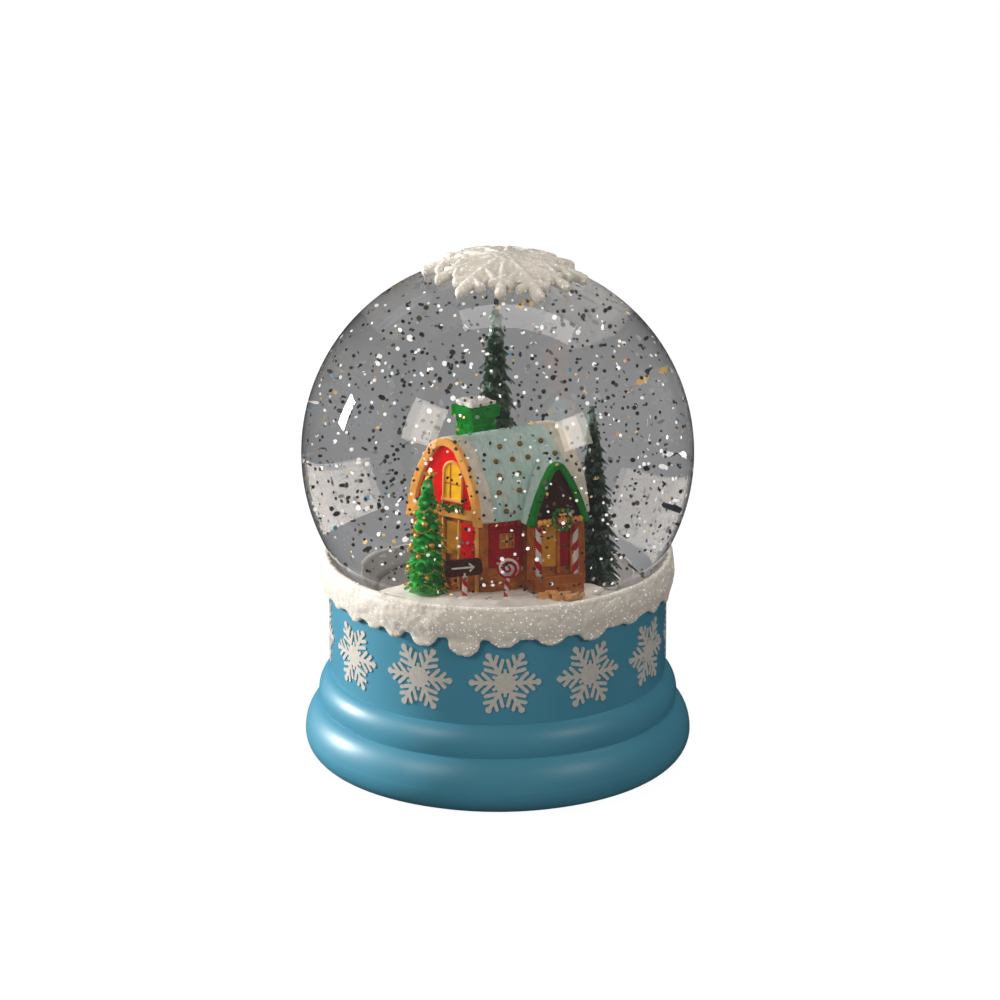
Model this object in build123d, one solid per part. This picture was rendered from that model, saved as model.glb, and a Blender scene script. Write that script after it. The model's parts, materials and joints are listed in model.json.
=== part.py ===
from build123d import *
import os
from math import atan2, cos, degrees, hypot, pi, radians, sin, sqrt

# Snow globe: a water-filled ball on a round moulded base, with a cottage scene inside
# and a battery-driven magnetic swirler underneath.
# Millimetres. +Z is up. Origin: centre of the bottom face of the foot ring. Front is -Y.

# ---- driving dimensions -------------------------------------------------------------
GLOBE_R = 75.0          # outside of the ball
GLASS = 2.5             # wall of the ball and its neck
GLOBE_Z = 122.0         # height of the ball's centre
NECK_R = 50.0           # outside of the neck
FLANGE_R = 54.0         # flange at the end of the neck
FLANGE_Z0 = 54.0
FLANGE_Z1 = 57.0
WATER_GAP = 0.05        # between the water and what holds it

DRUM_R = 64.5           # upper drum of the base
DRUM_TOP = 79.5
BASE_Z0 = 0.8           # flat underside of the base, above the rubber foot ring
FOOT_MOULD_Z = 10.6     # widest height of the lower moulding
FOOT_MOULD_A = 9.8      # how far it stands out from the drum
FOOT_MOULD_B = 13.5     # height of its upper half
STEP_MOULD_R = 61.5     # centre radius of the second moulding
STEP_MOULD_Z = 26.2
STEP_MOULD_A = 7.5
STEP_MOULD_B = 9.6

FLAKE_COUNT = 12        # snowflakes round the drum
FLAKE_R = 13.7
FLAKE_Z = 52.0
FLAKE_RAISE = 0.4
FLAKE_TURN = 2.5        # degrees that the ring of flakes is turned

TOPPER_R = 31.7         # snowflake on top of the ball
TOPPER_HUB = 20.0
TOPPER_T = 4.25
TOPPER_TILT = 2.2
TOPPER_TURN = -4.0

COTTAGE_CORNER = Vector(-4.4, -18.0, 0)   # corner of the cottage that faces the viewer
GABLE_DIR = Vector(-0.787, 0.617, 0).normalized()   # from that corner along the gable wall
RIDGE_DIR = Vector(0.905, 0.425, 0).normalized()    # from that corner along the ridge
COTTAGE_W = 25.9        # width over the roof at the eaves
COTTAGE_L = 34.0        # length along the ridge
COTTAGE_BASE = 80.6
EAVE_Z = 105.0
ARCH_DROP = 32.3        # centre of each roof arc, beyond the middle of the gable
ARCH_Z = 102.0
ARCH_R = 45.4
ARCH_TOP_R = 7.0        # rounding of the roof's ridge
ROOF_T = 2.0
WALL_T = 1.6
WALL_EDGE = 0.7         # how far the walls stand in from the eaves
GABLE_BAND = 2.4        # width of the painted band round the gable

PORCH_MID = 22.3        # middle of the porch along the ridge direction
PORCH_DEPTH = 5.6
PORCH_EAVE = 104.2
PORCH_ARCH_DROP = 50.24
PORCH_ARCH_Z = 90.04
PORCH_ARCH_R = 61.7
PORCH_ARCH_TOP_R = 3.2

CELL_R = 7.15           # AA cell
CELL_L = 50.5
CELL_Z = 12.2
CELL_PITCH = 14.8
CELL_MID_Y = -28.0

MOTOR_R = 12.0
SHAFT_R = 1.0
SWITCH_Y = 40.0
SWITCH_TRAVEL = 2.5     # each way
SWITCH_CAP = 3.0        # half the length of the switch's cap
SWITCH_STEM = 1.5

FIT = 0.05              # running clearance on a shaft


# ---- helpers ------------------------------------------------------------------------
def cyl(r, z0, z1, x=0.0, y=0.0):
    return Pos(x, y, (z0 + z1) / 2) * Cylinder(r, z1 - z0)


def ring(r_out, r_in, z0, z1):
    return cyl(r_out, z0, z1) - cyl(r_in, z0 - 1, z1 + 1)


def block(x0, x1, y0, y1, z0, z1):
    size = Box(x1 - x0, y1 - y0, z1 - z0)
    return Pos((x0 + x1) / 2, (y0 + y1) / 2, (z0 + z1) / 2) * size


def polar(r, angle, z=0.0):
    a = radians(angle)
    return Vector(r * cos(a), r * sin(a), z)


def sphere_r(radius, z):
    """Radius of a sphere about the ball's centre, cut at height z."""
    return sqrt(radius ** 2 - (z - GLOBE_Z) ** 2)


def turned(*edges):
    """Solid of revolution about Z of a closed outline drawn in the XZ plane."""
    return revolve(Plane.XZ * make_face(Wire(edges)), axis=Axis.Z)


def group(solids):
    return Compound(children=list(solids))


def rect(x0, x1, y0, y1):
    return Pos((x0 + x1) / 2, (y0 + y1) / 2) * Rectangle(x1 - x0, y1 - y0)


# ---- base ---------------------------------------------------------------------------
def base_outline():
    """Solid of the base without its hollow: a drum on two rounded mouldings."""
    drum = rect(0, DRUM_R, BASE_Z0, DRUM_TOP)
    lower = Pos(DRUM_R, FOOT_MOULD_Z) * Circle(FOOT_MOULD_A) & rect(0, 90, 0, FOOT_MOULD_Z)
    upper = Pos(DRUM_R, FOOT_MOULD_Z) * Ellipse(FOOT_MOULD_A, FOOT_MOULD_B)
    upper = upper & rect(0, 90, FOOT_MOULD_Z, 40)
    step = Pos(STEP_MOULD_R, STEP_MOULD_Z) * Ellipse(STEP_MOULD_A, STEP_MOULD_B)
    step = step & rect(0, 90, 10, 60)
    profile = drum + lower + upper + step
    return revolve(Plane.XZ * profile, axis=Axis.Z)


def base_hollow():
    seat = GLOBE_R + FIT
    lip_z = 72.0
    points = [(0, BASE_Z0 - 1), (61.2, BASE_Z0 - 1), (61.2, 5), (70.6, 5), (70.6, 17), (65.6, 23)]
    points += [(65.6, 31), (61.9, 36), (61.9, lip_z), (sphere_r(seat, lip_z), lip_z)]
    points += [(0, lip_z), (0, BASE_Z0 - 1)]
    hollow = revolve(Plane.XZ * make_face(Polyline(*points)), axis=Axis.Z)
    return hollow + Pos(0, 0, GLOBE_Z) * Sphere(seat)


def base_posts(outside):
    """Bosses for the bottom plate and for the clamp ring, each ribbed to the wall."""
    posts = []
    for angle in (45, 135, 225, 315):
        at = polar(55, angle)
        rib = Pos(64, 0, 25.2) * Box(16, 2, 41.6)
        posts += [cyl(3.6, 4.4, 46, at.X, at.Y), Rot(0, 0, angle) * rib]
    for angle in (0, 90, 180, 270):
        at = polar(57.5, angle)
        rib = Pos(60.5, 0, 56.1) * Box(5, 3, 11.8)
        posts += [cyl(3.2, 50.2, 62, at.X, at.Y), Rot(0, 0, angle) * rib]
    return [post & outside for post in posts]


def screw_bores():
    bores = []
    for angle in (45, 135, 225, 315):
        at = polar(55, angle)
        bores.append(cyl(1.25, 3, 16, at.X, at.Y))
    for angle in (0, 90, 180, 270):
        at = polar(57.5, angle)
        bores.append(cyl(1.25, 49, 60, at.X, at.Y))
    return bores


def base_housing():
    outside = base_outline()
    body = outside - base_hollow()
    for post in base_posts(outside):
        body = body + post
    for bore in screw_bores():
        body = body - bore
    return body


def foot_ring():
    return ring(64.6, 61.4, 0, BASE_Z0)


def flake_face(r, stem, ball, branches, hub):
    """Six-armed flat snowflake; branches are (start, tip radius, tip angle, half width)."""
    arm = rect(0, r * (1 - ball), -stem * r, stem * r) + Pos(r * (1 - ball), 0) * Circle(ball * r)
    for start, tip_r, tip_angle, half in branches:
        for side in (-1, 1):
            tip = polar(tip_r * r, side * tip_angle)
            run = tip - Vector(start * r, 0, 0)
            turn = degrees(atan2(run.Y, run.X))
            bar = Pos(run.length / 2, 0) * Rectangle(run.length, 2 * half * r)
            bar = bar + Pos(run.length, 0) * Circle(half * r)
            arm = arm + Pos(start * r, 0) * Rot(0, 0, turn) * bar
    face = Circle(hub * r)
    for i in range(6):
        face = face + Rot(0, 0, 60 * i) * arm
    return face


def base_snowflakes():
    branches = [(0.60, 0.81, 14, 0.05), (0.34, 0.667, 24, 0.05)]
    face = flake_face(FLAKE_R, 0.055, 0.09, branches, 0.30)
    for i in range(6):
        face = face + Rot(0, 0, 30 + 60 * i) * rect(0, 0.40 * FLAKE_R, -0.6, 0.6)
    tangent = Plane(origin=(0, -DRUM_R + 6, FLAKE_Z), x_dir=(1, 0, 0), z_dir=(0, -1, 0))
    flake = extrude(tangent * face, amount=8)
    skin = ring(DRUM_R + FLAKE_RAISE, DRUM_R, FLAKE_Z - 20, FLAKE_Z + 20)
    flake = (flake & skin).solids()[0]
    step = 360 / FLAKE_COUNT
    return group(Rot(0, 0, FLAKE_TURN + step * i) * flake for i in range(FLAKE_COUNT))


# azimuth from the front in degrees, lowest height, half width in degrees
FRONT_DRIPS = [(-66, 67.9, 4), (-55, 67.1, 4.5), (-45, 67.3, 4), (-36, 66.7, 4), (-25, 65.2, 5)]
FRONT_DRIPS += [(-11, 63.0, 5.5), (2, 66.6, 6), (18, 66.6, 6), (33, 66.0, 6), (50, 68.0, 7)]
FRONT_DRIPS += [(64, 67.6, 5), (77, 66.8, 5), (86, 68.2, 2.5)]
BACK_DRIPS = [(97, 67.6, 4.5), (108, 64.4, 5.5), (120, 66.9, 5), (132, 67.5, 5), (144, 65.6, 5.5)]
BACK_DRIPS += [(157, 66.9, 6), (170, 63.8, 5.5), (183, 66.5, 6), (197, 67.3, 5), (210, 65.4, 5.5)]
BACK_DRIPS += [(223, 66.8, 6), (236, 64.6, 5.5), (248, 67.2, 5), (260, 66.2, 5.5), (274, 67.4, 5)]
BACK_DRIPS += [(284, 68.2, 3)]
TRIM_FOOT = 69.4
DRIP_T = 1.7


def snow_trim():
    """Ring of modelled snow round the seam, with drips down the drum."""
    seat = GLOBE_R + FIT
    crest_z = 82.0
    low = (DRUM_R, TRIM_FOOT)
    side = ThreePointArc((DRUM_R + 2.0, TRIM_FOOT + 0.5), (DRUM_R + 3.0, 75.5), (66.7, 81.0))
    crest_r = sphere_r(seat, crest_z)
    crest = ThreePointArc((66.7, 81.0), (65.6, 83.1), (crest_r + 0.3, crest_z))
    glass = sphere_arc(seat, crest_z, DRUM_TOP)
    edges = [Line(low, (DRUM_R + 2.0, TRIM_FOOT + 0.5)), side, crest]
    edges += [Line((crest_r + 0.3, crest_z), (crest_r, crest_z)), glass]
    edges += [Line((sphere_r(seat, DRUM_TOP), DRUM_TOP), (DRUM_R, DRUM_TOP))]
    edges += [Line((DRUM_R, DRUM_TOP), low)]
    trim = turned(*edges)
    skin = ring(DRUM_R + DRIP_T, DRUM_R, 60, TRIM_FOOT + 4)
    drips = [drip(azimuth, low_z, half, skin) for azimuth, low_z, half in FRONT_DRIPS + BACK_DRIPS]
    return trim + drips


def drip(azimuth, low_z, half, skin):
    width = DRUM_R * radians(half)
    tip = Pos(0, low_z + width) * Circle(width)
    face = tip + rect(-width, width, low_z + width, TRIM_FOOT + 2)
    out = polar(1, azimuth - 90)
    plane = Plane(origin=out * (DRUM_R - 6), x_dir=(-out.Y, out.X, 0), z_dir=out)
    return extrude(plane * face, amount=12) & skin


def sphere_arc(radius, z0, z1):
    """Arc of a sphere's outline about the ball's centre, between two heights."""
    zm = (z0 + z1) / 2
    ends = [(sphere_r(radius, z), z) for z in (z0, zm, z1)]
    return ThreePointArc(*ends)


# ---- ball, water and seal -----------------------------------------------------------
def globe_shell():
    ball = Pos(0, 0, GLOBE_Z) * Sphere(GLOBE_R) + cyl(NECK_R, FLANGE_Z0, 80)
    ball = ball + cyl(FLANGE_R, FLANGE_Z0, FLANGE_Z1)
    inside = Pos(0, 0, GLOBE_Z) * Sphere(GLOBE_R - GLASS) + cyl(NECK_R - GLASS, FLANGE_Z0 - 1, 80)
    low_cap = Pos(0, 0, GLOBE_Z) * Sphere(GLOBE_R)
    low_cap = low_cap & cyl(NECK_R - GLASS, 40, 67)
    return ball - inside - low_cap


def neck_plug():
    """Clear plug that closes the neck: a cup with a flange, and a socket for the pin."""
    cup = ring(47.2, 44.5, 50.2, 66) + cyl(54.0, 50.2, 52.8) + cyl(45, 50.2, 53)
    return cup - cyl(1.5, 51.5, 54)


def neck_gasket():
    return ring(54.0, 47.6, 52.8, FLANGE_Z0)


def clamp_ring():
    body = ring(60.4, 44.0, 47.2, 50.2)
    for angle in (0, 90, 180, 270):
        at = polar(57.5, angle)
        body = body - cyl(1.75, 46, 51, at.X, at.Y)
    for x in (-50, 50):
        body = body - cyl(1.0, 46, 49.2, x, 0)
    return body


def clamp_ring_screws():
    screws = []
    for angle in (0, 90, 180, 270):
        at = polar(57.5, angle)
        screws.append(cyl(1.25, 47.2, 59, at.X, at.Y) + cyl(2.8, 45.4, 47.2, at.X, at.Y))
    return group(screws)


def ground_top(lift=0.0):
    """Outline of the top of the snow: a low mound, steeper outside the scene."""
    points = [(0, 83.6), (12, 83.4), (22, 82.0), (31, 79.2), (39, 74.6), (46.2, 69.0)]
    return Spline([(r, z + lift) for r, z in points], tangents=[(1, 0), (0.6, -0.8)])


def ground_body():
    edges = [ground_top(), Line((46.2, 69.0), (46.2, 66.0)), Line((46.2, 66.0), (43.6, 66.0))]
    edges += [Line((43.6, 66.0), (43.6, 67.0)), Line((0, 67.0), (0, 83.6))]
    edges += [Line((43.6, 67.0), (0, 67.0))]
    return turned(*edges)


def ground_hollow():
    """Space under the mound, where the water comes up from the swirler."""
    under = revolve(
        Plane.XZ * make_face(Polyline((0, 66), (42, 66), (42, 68.5), (30, 74.5), (0, 77.5), (0, 66))),
        axis=Axis.Z,
    )
    return under


SWIRL_HOLES = [polar(37.0, 30 + 60 * i) for i in range(6)]


def snow_ground(pressed):
    body = ground_body() - ground_hollow()
    for at in SWIRL_HOLES:
        body = body - cyl(2.5, 60, 90, at.X, at.Y)
    light = gable_at(COTTAGE_W / 2, 16)
    body = body - cyl(7, 60, 84, light.X, light.Y)
    for piece in pressed:
        body = body - piece
    return body


# ---- swirler ------------------------------------------------------------------------
def impeller():
    body = cyl(15, 54.2, 58.2)
    for i in range(6):
        blade = block(5.0, 14.6, -0.6, 0.6, 58.2, 63.0)
        body = body + Rot(0, 0, 60 * i) * blade
    body = body - cyl(1.5 + FIT, 50, 70)
    for x in (-9, 9):
        body = body - cyl(3, 54.2, 56.7, x, 0)
    return body


def impeller_magnets():
    return group(cyl(3, 54.2, 56.7, x, 0) for x in (-9, 9))


def impeller_pin():
    return cyl(1.5, 51.5, 58.5) + cyl(3.0, 53.0, 54.05) + cyl(3.0, 58.4, 59.6)


def drive_disc():
    body = cyl(14, 45.9, 49.2) - cyl(SHAFT_R, 40, 60)
    for x in (-9, 9):
        body = body - cyl(3, 46.9, 49.2, x, 0)
    return body


def drive_magnets():
    return group(cyl(3, 46.9, 49.2, x, 0) for x in (-9, 9))


def motor_shaft():
    return cyl(SHAFT_R, 24.5, 48.5)


def motor():
    can = fillet(Cylinder(MOTOR_R, 20).edges(), 1.2)
    body = Pos(0, 0, 32.5) * can + cyl(3.5, 42.4, 44.1)
    return body - cyl(SHAFT_R + FIT, 24, 60)


def motor_bracket():
    plate = block(-56, 56, -15, 15, 42.5, 44.1) & cyl(57, 40, 50)
    plate = plate - cyl(3.5, 40, 50)
    for x in (-50, 50):
        plate = plate + cyl(4, 44.1, 47.2, x, 0)
        plate = plate - cyl(1.0, 40, 50, x, 0)
    return plate


def bracket_screws():
    return group(cyl(1.0, 42.5, 49.0, x, 0) + cyl(2.2, 41.1, 42.5, x, 0) for x in (-50, 50))


def led_board():
    return ring(41, 22, 44.1, 45.7)


def led_lamps():
    lamps = []
    for angle in (45, 135, 225, 315):
        at = polar(32, angle)
        dome = Pos(at.X, at.Y, 47.3) * (Sphere(2.3) & cyl(3, 0, 3))
        lamps.append(cyl(2.3, 46.4, 47.3, at.X, at.Y) + dome + cyl(2.9, 45.7, 46.4, at.X, at.Y))
    return group(lamps)


# ---- underside ----------------------------------------------------------------------
PLATE_Z0 = 2.0
PLATE_Z1 = 4.4
DOOR_X = 27.0
DOOR_Y0 = -50.7
DOOR_Y1 = -5.3
DOOR_GAP = 0.3
BAY_X = 28.0
BAY_Z1 = 19.9


def bottom_plate():
    body = cyl(60.6, PLATE_Z0, PLATE_Z1)
    walls = block(-29.6, 29.6, -52.6, -3.4, PLATE_Z1, BAY_Z1 + 1.6) & cyl(60.4, 0, 40)
    body = body + walls
    body = body - block(-BAY_X, BAY_X, DOOR_Y0 - DOOR_GAP, DOOR_Y1 + DOOR_GAP, PLATE_Z1, BAY_Z1)
    body = body - block(-DOOR_X - DOOR_GAP, DOOR_X + DOOR_GAP, DOOR_Y0 - DOOR_GAP, DOOR_Y1 + DOOR_GAP, 0, 5)
    reach = SWITCH_CAP + SWITCH_TRAVEL + 0.3
    body = body - block(-reach, reach, SWITCH_Y - 2.3, SWITCH_Y + 2.3, 0, 5)
    tab = block(-4.5, 4.5, DOOR_Y1 + DOOR_GAP, DOOR_Y1 + 8, PLATE_Z1, 8.4)
    body = body + tab - cyl(1.25, 0, 8, 0, DOOR_Y1 + 3.2)
    body = body - cyl(3.5, 0, 3.3, 0, DOOR_Y1 + 3.2) - cyl(1.7, 0, PLATE_Z1, 0, DOOR_Y1 + 3.2)
    body = body - block(-3.5, 3.5, DOOR_Y1, DOOR_Y1 + 3.2, 0, 3.3)
    for angle in (45, 135, 225, 315):
        at = polar(55, angle)
        body = body - cyl(1.6, 0, 10, at.X, at.Y)
    for x in (-17, 17):
        body = body + cyl(2.5, PLATE_Z1, 8.0, x, 24)
    return body


def bottom_plate_screws():
    screws = []
    for angle in (45, 135, 225, 315):
        at = polar(55, angle)
        screws.append(cyl(1.25, PLATE_Z0, 15, at.X, at.Y) + cyl(2.8, 0.9, PLATE_Z0, at.X, at.Y))
    return group(screws)


def battery_door():
    body = block(-DOOR_X, DOOR_X, DOOR_Y0, DOOR_Y1, PLATE_Z0, 4.0)
    for i in range(5):
        grip = block(-8, 8, -46 + 2.4 * i, -45 + 2.4 * i, 1.5, PLATE_Z0)
        body = body + grip
    ear = cyl(3.2, PLATE_Z0, 3.1, 0, DOOR_Y1 + 3.2)
    ear = ear + block(-3.2, 3.2, DOOR_Y1 - 1, DOOR_Y1 + 3.2, PLATE_Z0, 3.1)
    return body + ear - cyl(1.45, 0, 5, 0, DOOR_Y1 + 3.2)


def door_screw():
    y = DOOR_Y1 + 3.2
    return cyl(1.2, PLATE_Z0, 7.6, 0, y) + cyl(2.4, 0.9, PLATE_Z0, 0, y)


def cell_rows():
    return [CELL_MID_Y + CELL_PITCH * i for i in (-1, 0, 1)]


def batteries():
    cells = []
    for row, y in enumerate(cell_rows()):
        turn = 180 if row == 1 else 0
        can = Pos(-0.5, 0, 0) * Rot(0, 90, 0) * fillet(Cylinder(CELL_R, CELL_L - 1.0).edges(), 0.5)
        nub = Pos(CELL_L / 2 - 0.75, 0, 0) * Rot(0, 90, 0) * Cylinder(2.7, 1.5)
        cells.append(Pos(0, y, CELL_Z) * Rot(0, 0, turn) * (can + nub))
    return group(cells)


def battery_contacts():
    """Spring plates at the negative ends and flat plates at the positive ends."""
    plates = []
    for y in cell_rows():
        for x in (-BAY_X, BAY_X - 0.5):
            plates.append(block(x, x + 0.5, y - 5, y + 5, 7.2, 17.2))
        sign = -1 if y == cell_rows()[1] else 1
        dimple = Rot(0, 90, 0) * Cylinder(2.4, BAY_X - 0.5 - CELL_L / 2)
        centre = sign * (BAY_X - 0.5 + CELL_L / 2) / 2
        plates.append(Pos(centre, y, CELL_Z) * dimple)
    return group(plates)


def battery_springs():
    coils = []
    length = BAY_X - 0.5 - CELL_L / 2
    for y in cell_rows():
        sign = 1 if y == cell_rows()[1] else -1
        wire = 0.35
        path = Helix(pitch=0.7, height=length - 2 * wire, radius=3.6)
        coil = sweep(Plane(path @ 0, z_dir=path % 0) * Circle(wire), path=path)
        start = sign * (CELL_L / 2 + wire)
        coils.append(Pos(start, y, CELL_Z) * Rot(0, 90 * sign, 0) * coil)
    return group(coils)


def switch_body():
    body = block(-9.5, 9.5, SWITCH_Y - 4.5, SWITCH_Y + 4.5, PLATE_Z1, 10.4)
    reach = SWITCH_STEM + SWITCH_TRAVEL + 0.4
    return body - block(-reach, reach, SWITCH_Y - 1.7, SWITCH_Y + 1.7, 4, 7.2)


def switch_knob():
    cap = block(-SWITCH_CAP, SWITCH_CAP, SWITCH_Y - 2, SWITCH_Y + 2, 1.2, 4.25)
    for x in (-1.8, 0, 1.8):
        cap = cap - block(x - 0.3, x + 0.3, SWITCH_Y - 2, SWITCH_Y + 2, 1.1, 1.6)
    stem = (-SWITCH_STEM, SWITCH_STEM, SWITCH_Y - SWITCH_STEM, SWITCH_Y + SWITCH_STEM)
    return cap + block(*stem, 4.2, 7.0)


def circuit_board():
    body = block(-21, 21, 14, 34, 8.0, 9.6)
    for x, y, w, d, h in ((-12, 26, 8, 6, 2.0), (3, 20, 5, 5, 1.6), (13, 27, 6, 6, 7.0)):
        body = body + block(x - w / 2, x + w / 2, y - d / 2, y + d / 2, 9.6, 9.6 + h)
    return body


def wire_tube(points, radius=0.6, bend=3.0):
    corners = len(points) - 2
    path = FilletPolyline(*points, radius=[bend] * corners)
    return sweep(Plane(path @ 0, z_dir=path % 0) * Circle(radius), path=path)


def wires():
    feed = wire_tube([(-18, -3.4, 14), (-18, 5, 14), (-18, 17, 18), (-18, 17, 9.6)])
    to_motor = wire_tube([(-6, 17, 9.6), (-6, 17, 15), (-6, 6, 17.5), (-6, 6, 22.5)], bend=2.0)
    to_lamps = wire_tube([(19, 30, 9.6), (19, 30, 20), (16, 26, 32), (16, 26, 44.1)], bend=6.0)
    return group([feed, to_motor, to_lamps])


# ---- cottage ------------------------------------------------------------------------
def gable_at(u, t, z=0.0):
    """Point u along the gable wall and t along the ridge."""
    at = COTTAGE_CORNER + GABLE_DIR * u + RIDGE_DIR * t
    return Vector(at.X, at.Y, z)


def gable_prism(face, t0, t1):
    """Push a face drawn on the gable, as (-u, z), along the ridge from t0 to t1."""
    outward = Vector(-GABLE_DIR.Y, GABLE_DIR.X, 0)
    plane = Plane(origin=gable_at(0, t0), x_dir=GABLE_DIR * -1, z_dir=outward)
    return extrude(plane * face, amount=t1 - t0, dir=RIDGE_DIR)


def side_prism(face, q0, q1):
    """Push a face drawn on the long wall, as (v, z), outward from q0 to q1."""
    outward = Vector(RIDGE_DIR.Y, -RIDGE_DIR.X, 0)
    plane = Plane(origin=gable_at(WALL_EDGE, 0), x_dir=RIDGE_DIR, z_dir=outward)
    return extrude(plane.offset(q0) * face, amount=q1 - q0)


def arch_face(middle, drop, centre_z, radius, top_r, foot_z, inset):
    """Arch of two arcs with a rounded top; each arc's centre lies beyond the middle by drop."""
    r = radius - inset
    half = sqrt(r * r - (foot_z - centre_z) ** 2) - drop
    top = centre_z + sqrt(r * r - drop * drop)
    angle = (atan2(foot_z - centre_z, half + drop) + atan2(top - centre_z, drop)) / 2
    mid = (r * cos(angle) - drop, centre_z + r * sin(angle))
    left = ThreePointArc((middle - half, foot_z), (middle - mid[0], mid[1]), (middle, top))
    right = ThreePointArc((middle, top), (middle + mid[0], mid[1]), (middle + half, foot_z))
    face = make_face(Wire([left, right, Line((middle + half, foot_z), (middle - half, foot_z))]))
    return fillet([face.vertices().sort_by(Axis.Y)[-1]], top_r - inset)


def main_arch(inset, foot_z=EAVE_Z):
    shape = (ARCH_DROP, ARCH_Z, ARCH_R, ARCH_TOP_R)
    return arch_face(-COTTAGE_W / 2, *shape, foot_z, inset)


def porch_arch(inset, foot_z=PORCH_EAVE):
    shape = (PORCH_ARCH_DROP, PORCH_ARCH_Z, PORCH_ARCH_R, PORCH_ARCH_TOP_R)
    return arch_face(PORCH_MID, *shape, foot_z, inset)


def wall_face(inset, z0):
    """Lower part of the gable wall, below the eaves."""
    edge = WALL_EDGE + inset
    return rect(-COTTAGE_W + edge, -edge, z0, EAVE_Z)


ATTIC_WINDOW = rect(-13.9, -7.5, 111.2, 119.6) + Pos(-10.7, 119.6) * Circle(3.2)
GOLD_DOOR = rect(-12.8, -7.7, 94.5, 104.4)
RED_DOOR = rect(-7.5, -2.3, 93.8, 104.4)
SHUTTER = rect(2.6, 13.4, 91.2, 104.2)
SIDE_WINDOW = rect(6.2, 9.9, 97.1, 101.3)
PORCH_DOOR = rect(16.4, 21.8, 91.2, 103.4)
PORCH_SLOT = rect(22.7, 25.9, 91.0, 101.5)
PORCH_WALL = rect(14.7, 29.9, COTTAGE_BASE, PORCH_EAVE)


def cottage_block():
    """The cottage's walls as a solid, without hollow or openings."""
    lower = gable_prism(wall_face(0, COTTAGE_BASE), 0, COTTAGE_L - 1)
    upper = gable_prism(main_arch(ROOF_T), 0, COTTAGE_L - 1)
    return lower + upper


def cottage_walls():
    body = cottage_block()
    inner = gable_prism(wall_face(WALL_T, COTTAGE_BASE - 1), WALL_T, COTTAGE_L - 1 - WALL_T)
    inner = inner + gable_prism(main_arch(ROOF_T + WALL_T), WALL_T, COTTAGE_L - 1 - WALL_T)
    body = body - inner
    for face in (ATTIC_WINDOW, GOLD_DOOR, RED_DOOR):
        body = body - gable_prism(face, -1, 3)
    body = body - side_prism(SHUTTER, -3, 1)
    return body - side_prism(rect(16.2, 28.4, 86, 103), -3, 1)


def cottage_roof():
    shell = gable_prism(main_arch(0), 0, COTTAGE_L) - gable_prism(main_arch(ROOF_T), -1, COTTAGE_L + 1)
    return shell


def gable_trim():
    inner = main_arch(GABLE_BAND, 103.0)
    band = gable_prism(main_arch(0, 104.0), -1.6, 0) - gable_prism(inner, -2.6, 1)
    return band + gable_prism(rect(GABLE_BAND - COTTAGE_W, -GABLE_BAND, 105.7, 108.7), -1.6, 0)


def gable_panel():
    panel = gable_prism(main_arch(GABLE_BAND), -0.6, 0)
    panel = panel - gable_prism(rect(-28, 0, 100, 108.7), -1, 1)
    return panel - gable_prism(ATTIC_WINDOW, -2, 1)


def porch_block():
    body = side_prism(PORCH_WALL, 0, PORCH_DEPTH)
    return body + side_prism(porch_arch(2.0), 0, PORCH_DEPTH)


def porch_plinth():
    return side_prism(rect(13.8, 29.9, COTTAGE_BASE, 88.4), PORCH_DEPTH, 8.0)


def porch_walls():
    body = porch_block() + porch_plinth()
    body = body + side_prism(rect(15.3, 29.3, PORCH_EAVE, 105.9), PORCH_DEPTH, 7.4)
    body = body - side_prism(rect(16.2, 28.4, COTTAGE_BASE - 1, 105), -1, 4.0)
    panel_recess = side_prism(porch_arch(2.0) - rect(0, 40, 100, 105.9), 5.0, 9)
    for hole in (side_prism(PORCH_DOOR, 3, 7), side_prism(PORCH_SLOT, 3, 7), panel_recess):
        body = body - hole
    return body - cottage_skin()


def cottage_skin():
    """Everything inside the outer surface of the cottage's roof and walls."""
    return gable_prism(main_arch(0), -1.6, COTTAGE_L) + cottage_block()


def porch_gable_panel():
    return side_prism(porch_arch(2.0) - rect(0, 40, 100, 105.9), 5.0, 5.6)


def porch_roof():
    band = side_prism(porch_arch(0) - porch_arch(2.0), -14, 7.6)
    band = band - cottage_skin()
    return max(band.solids(), key=lambda s: s.volume)


def candy_columns():
    columns = []
    for v in (15.6, 27.4):
        at = side_point(v, 6.8)
        columns.append(cyl(1.0, 88.4, PORCH_EAVE, at.X, at.Y))
    return group(columns)


def side_point(v, q, z=0.0):
    outward = Vector(RIDGE_DIR.Y, -RIDGE_DIR.X, 0)
    at = gable_at(WALL_EDGE, 0) + RIDGE_DIR * v + outward * q
    return Vector(at.X, at.Y, z)


def door_wreath():
    outward = Vector(RIDGE_DIR.Y, -RIDGE_DIR.X, 0)
    plane = Plane(origin=side_point(22.8, 8.3, 106.0), x_dir=RIDGE_DIR, z_dir=outward)
    return plane * Torus(2.6, 0.85)


def slab(corner, g_len, r_len, z0, z1):
    """Block whose sides run with the cottage's walls."""
    far = corner + GABLE_DIR * g_len
    points = [corner, corner + RIDGE_DIR * r_len, far + RIDGE_DIR * r_len, far]
    face = make_face(Polyline(*[(p.X, p.Y) for p in points], close=True))
    return extrude(Pos(0, 0, z0) * face, amount=z1 - z0)


CHIMNEY_CORNER = Vector(-7.4, -1.0, 0)


def chimney():
    inset = CHIMNEY_CORNER + GABLE_DIR * 0.8 + RIDGE_DIR * 0.8
    shaft = slab(inset, 6.2, 7.6, 106, 132)
    cap = slab(CHIMNEY_CORNER, 7.8, 9.2, 131.8, 135.4)
    shaft = shaft - cottage_skin()
    top = max(shaft.solids(), key=lambda s: s.bounding_box().max.Z)
    return top + cap


def chimney_snow():
    inset = CHIMNEY_CORNER + GABLE_DIR * 0.7 + RIDGE_DIR * 0.7
    return slab(inset, 6.4, 7.8, 135.4, 136.9)


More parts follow.
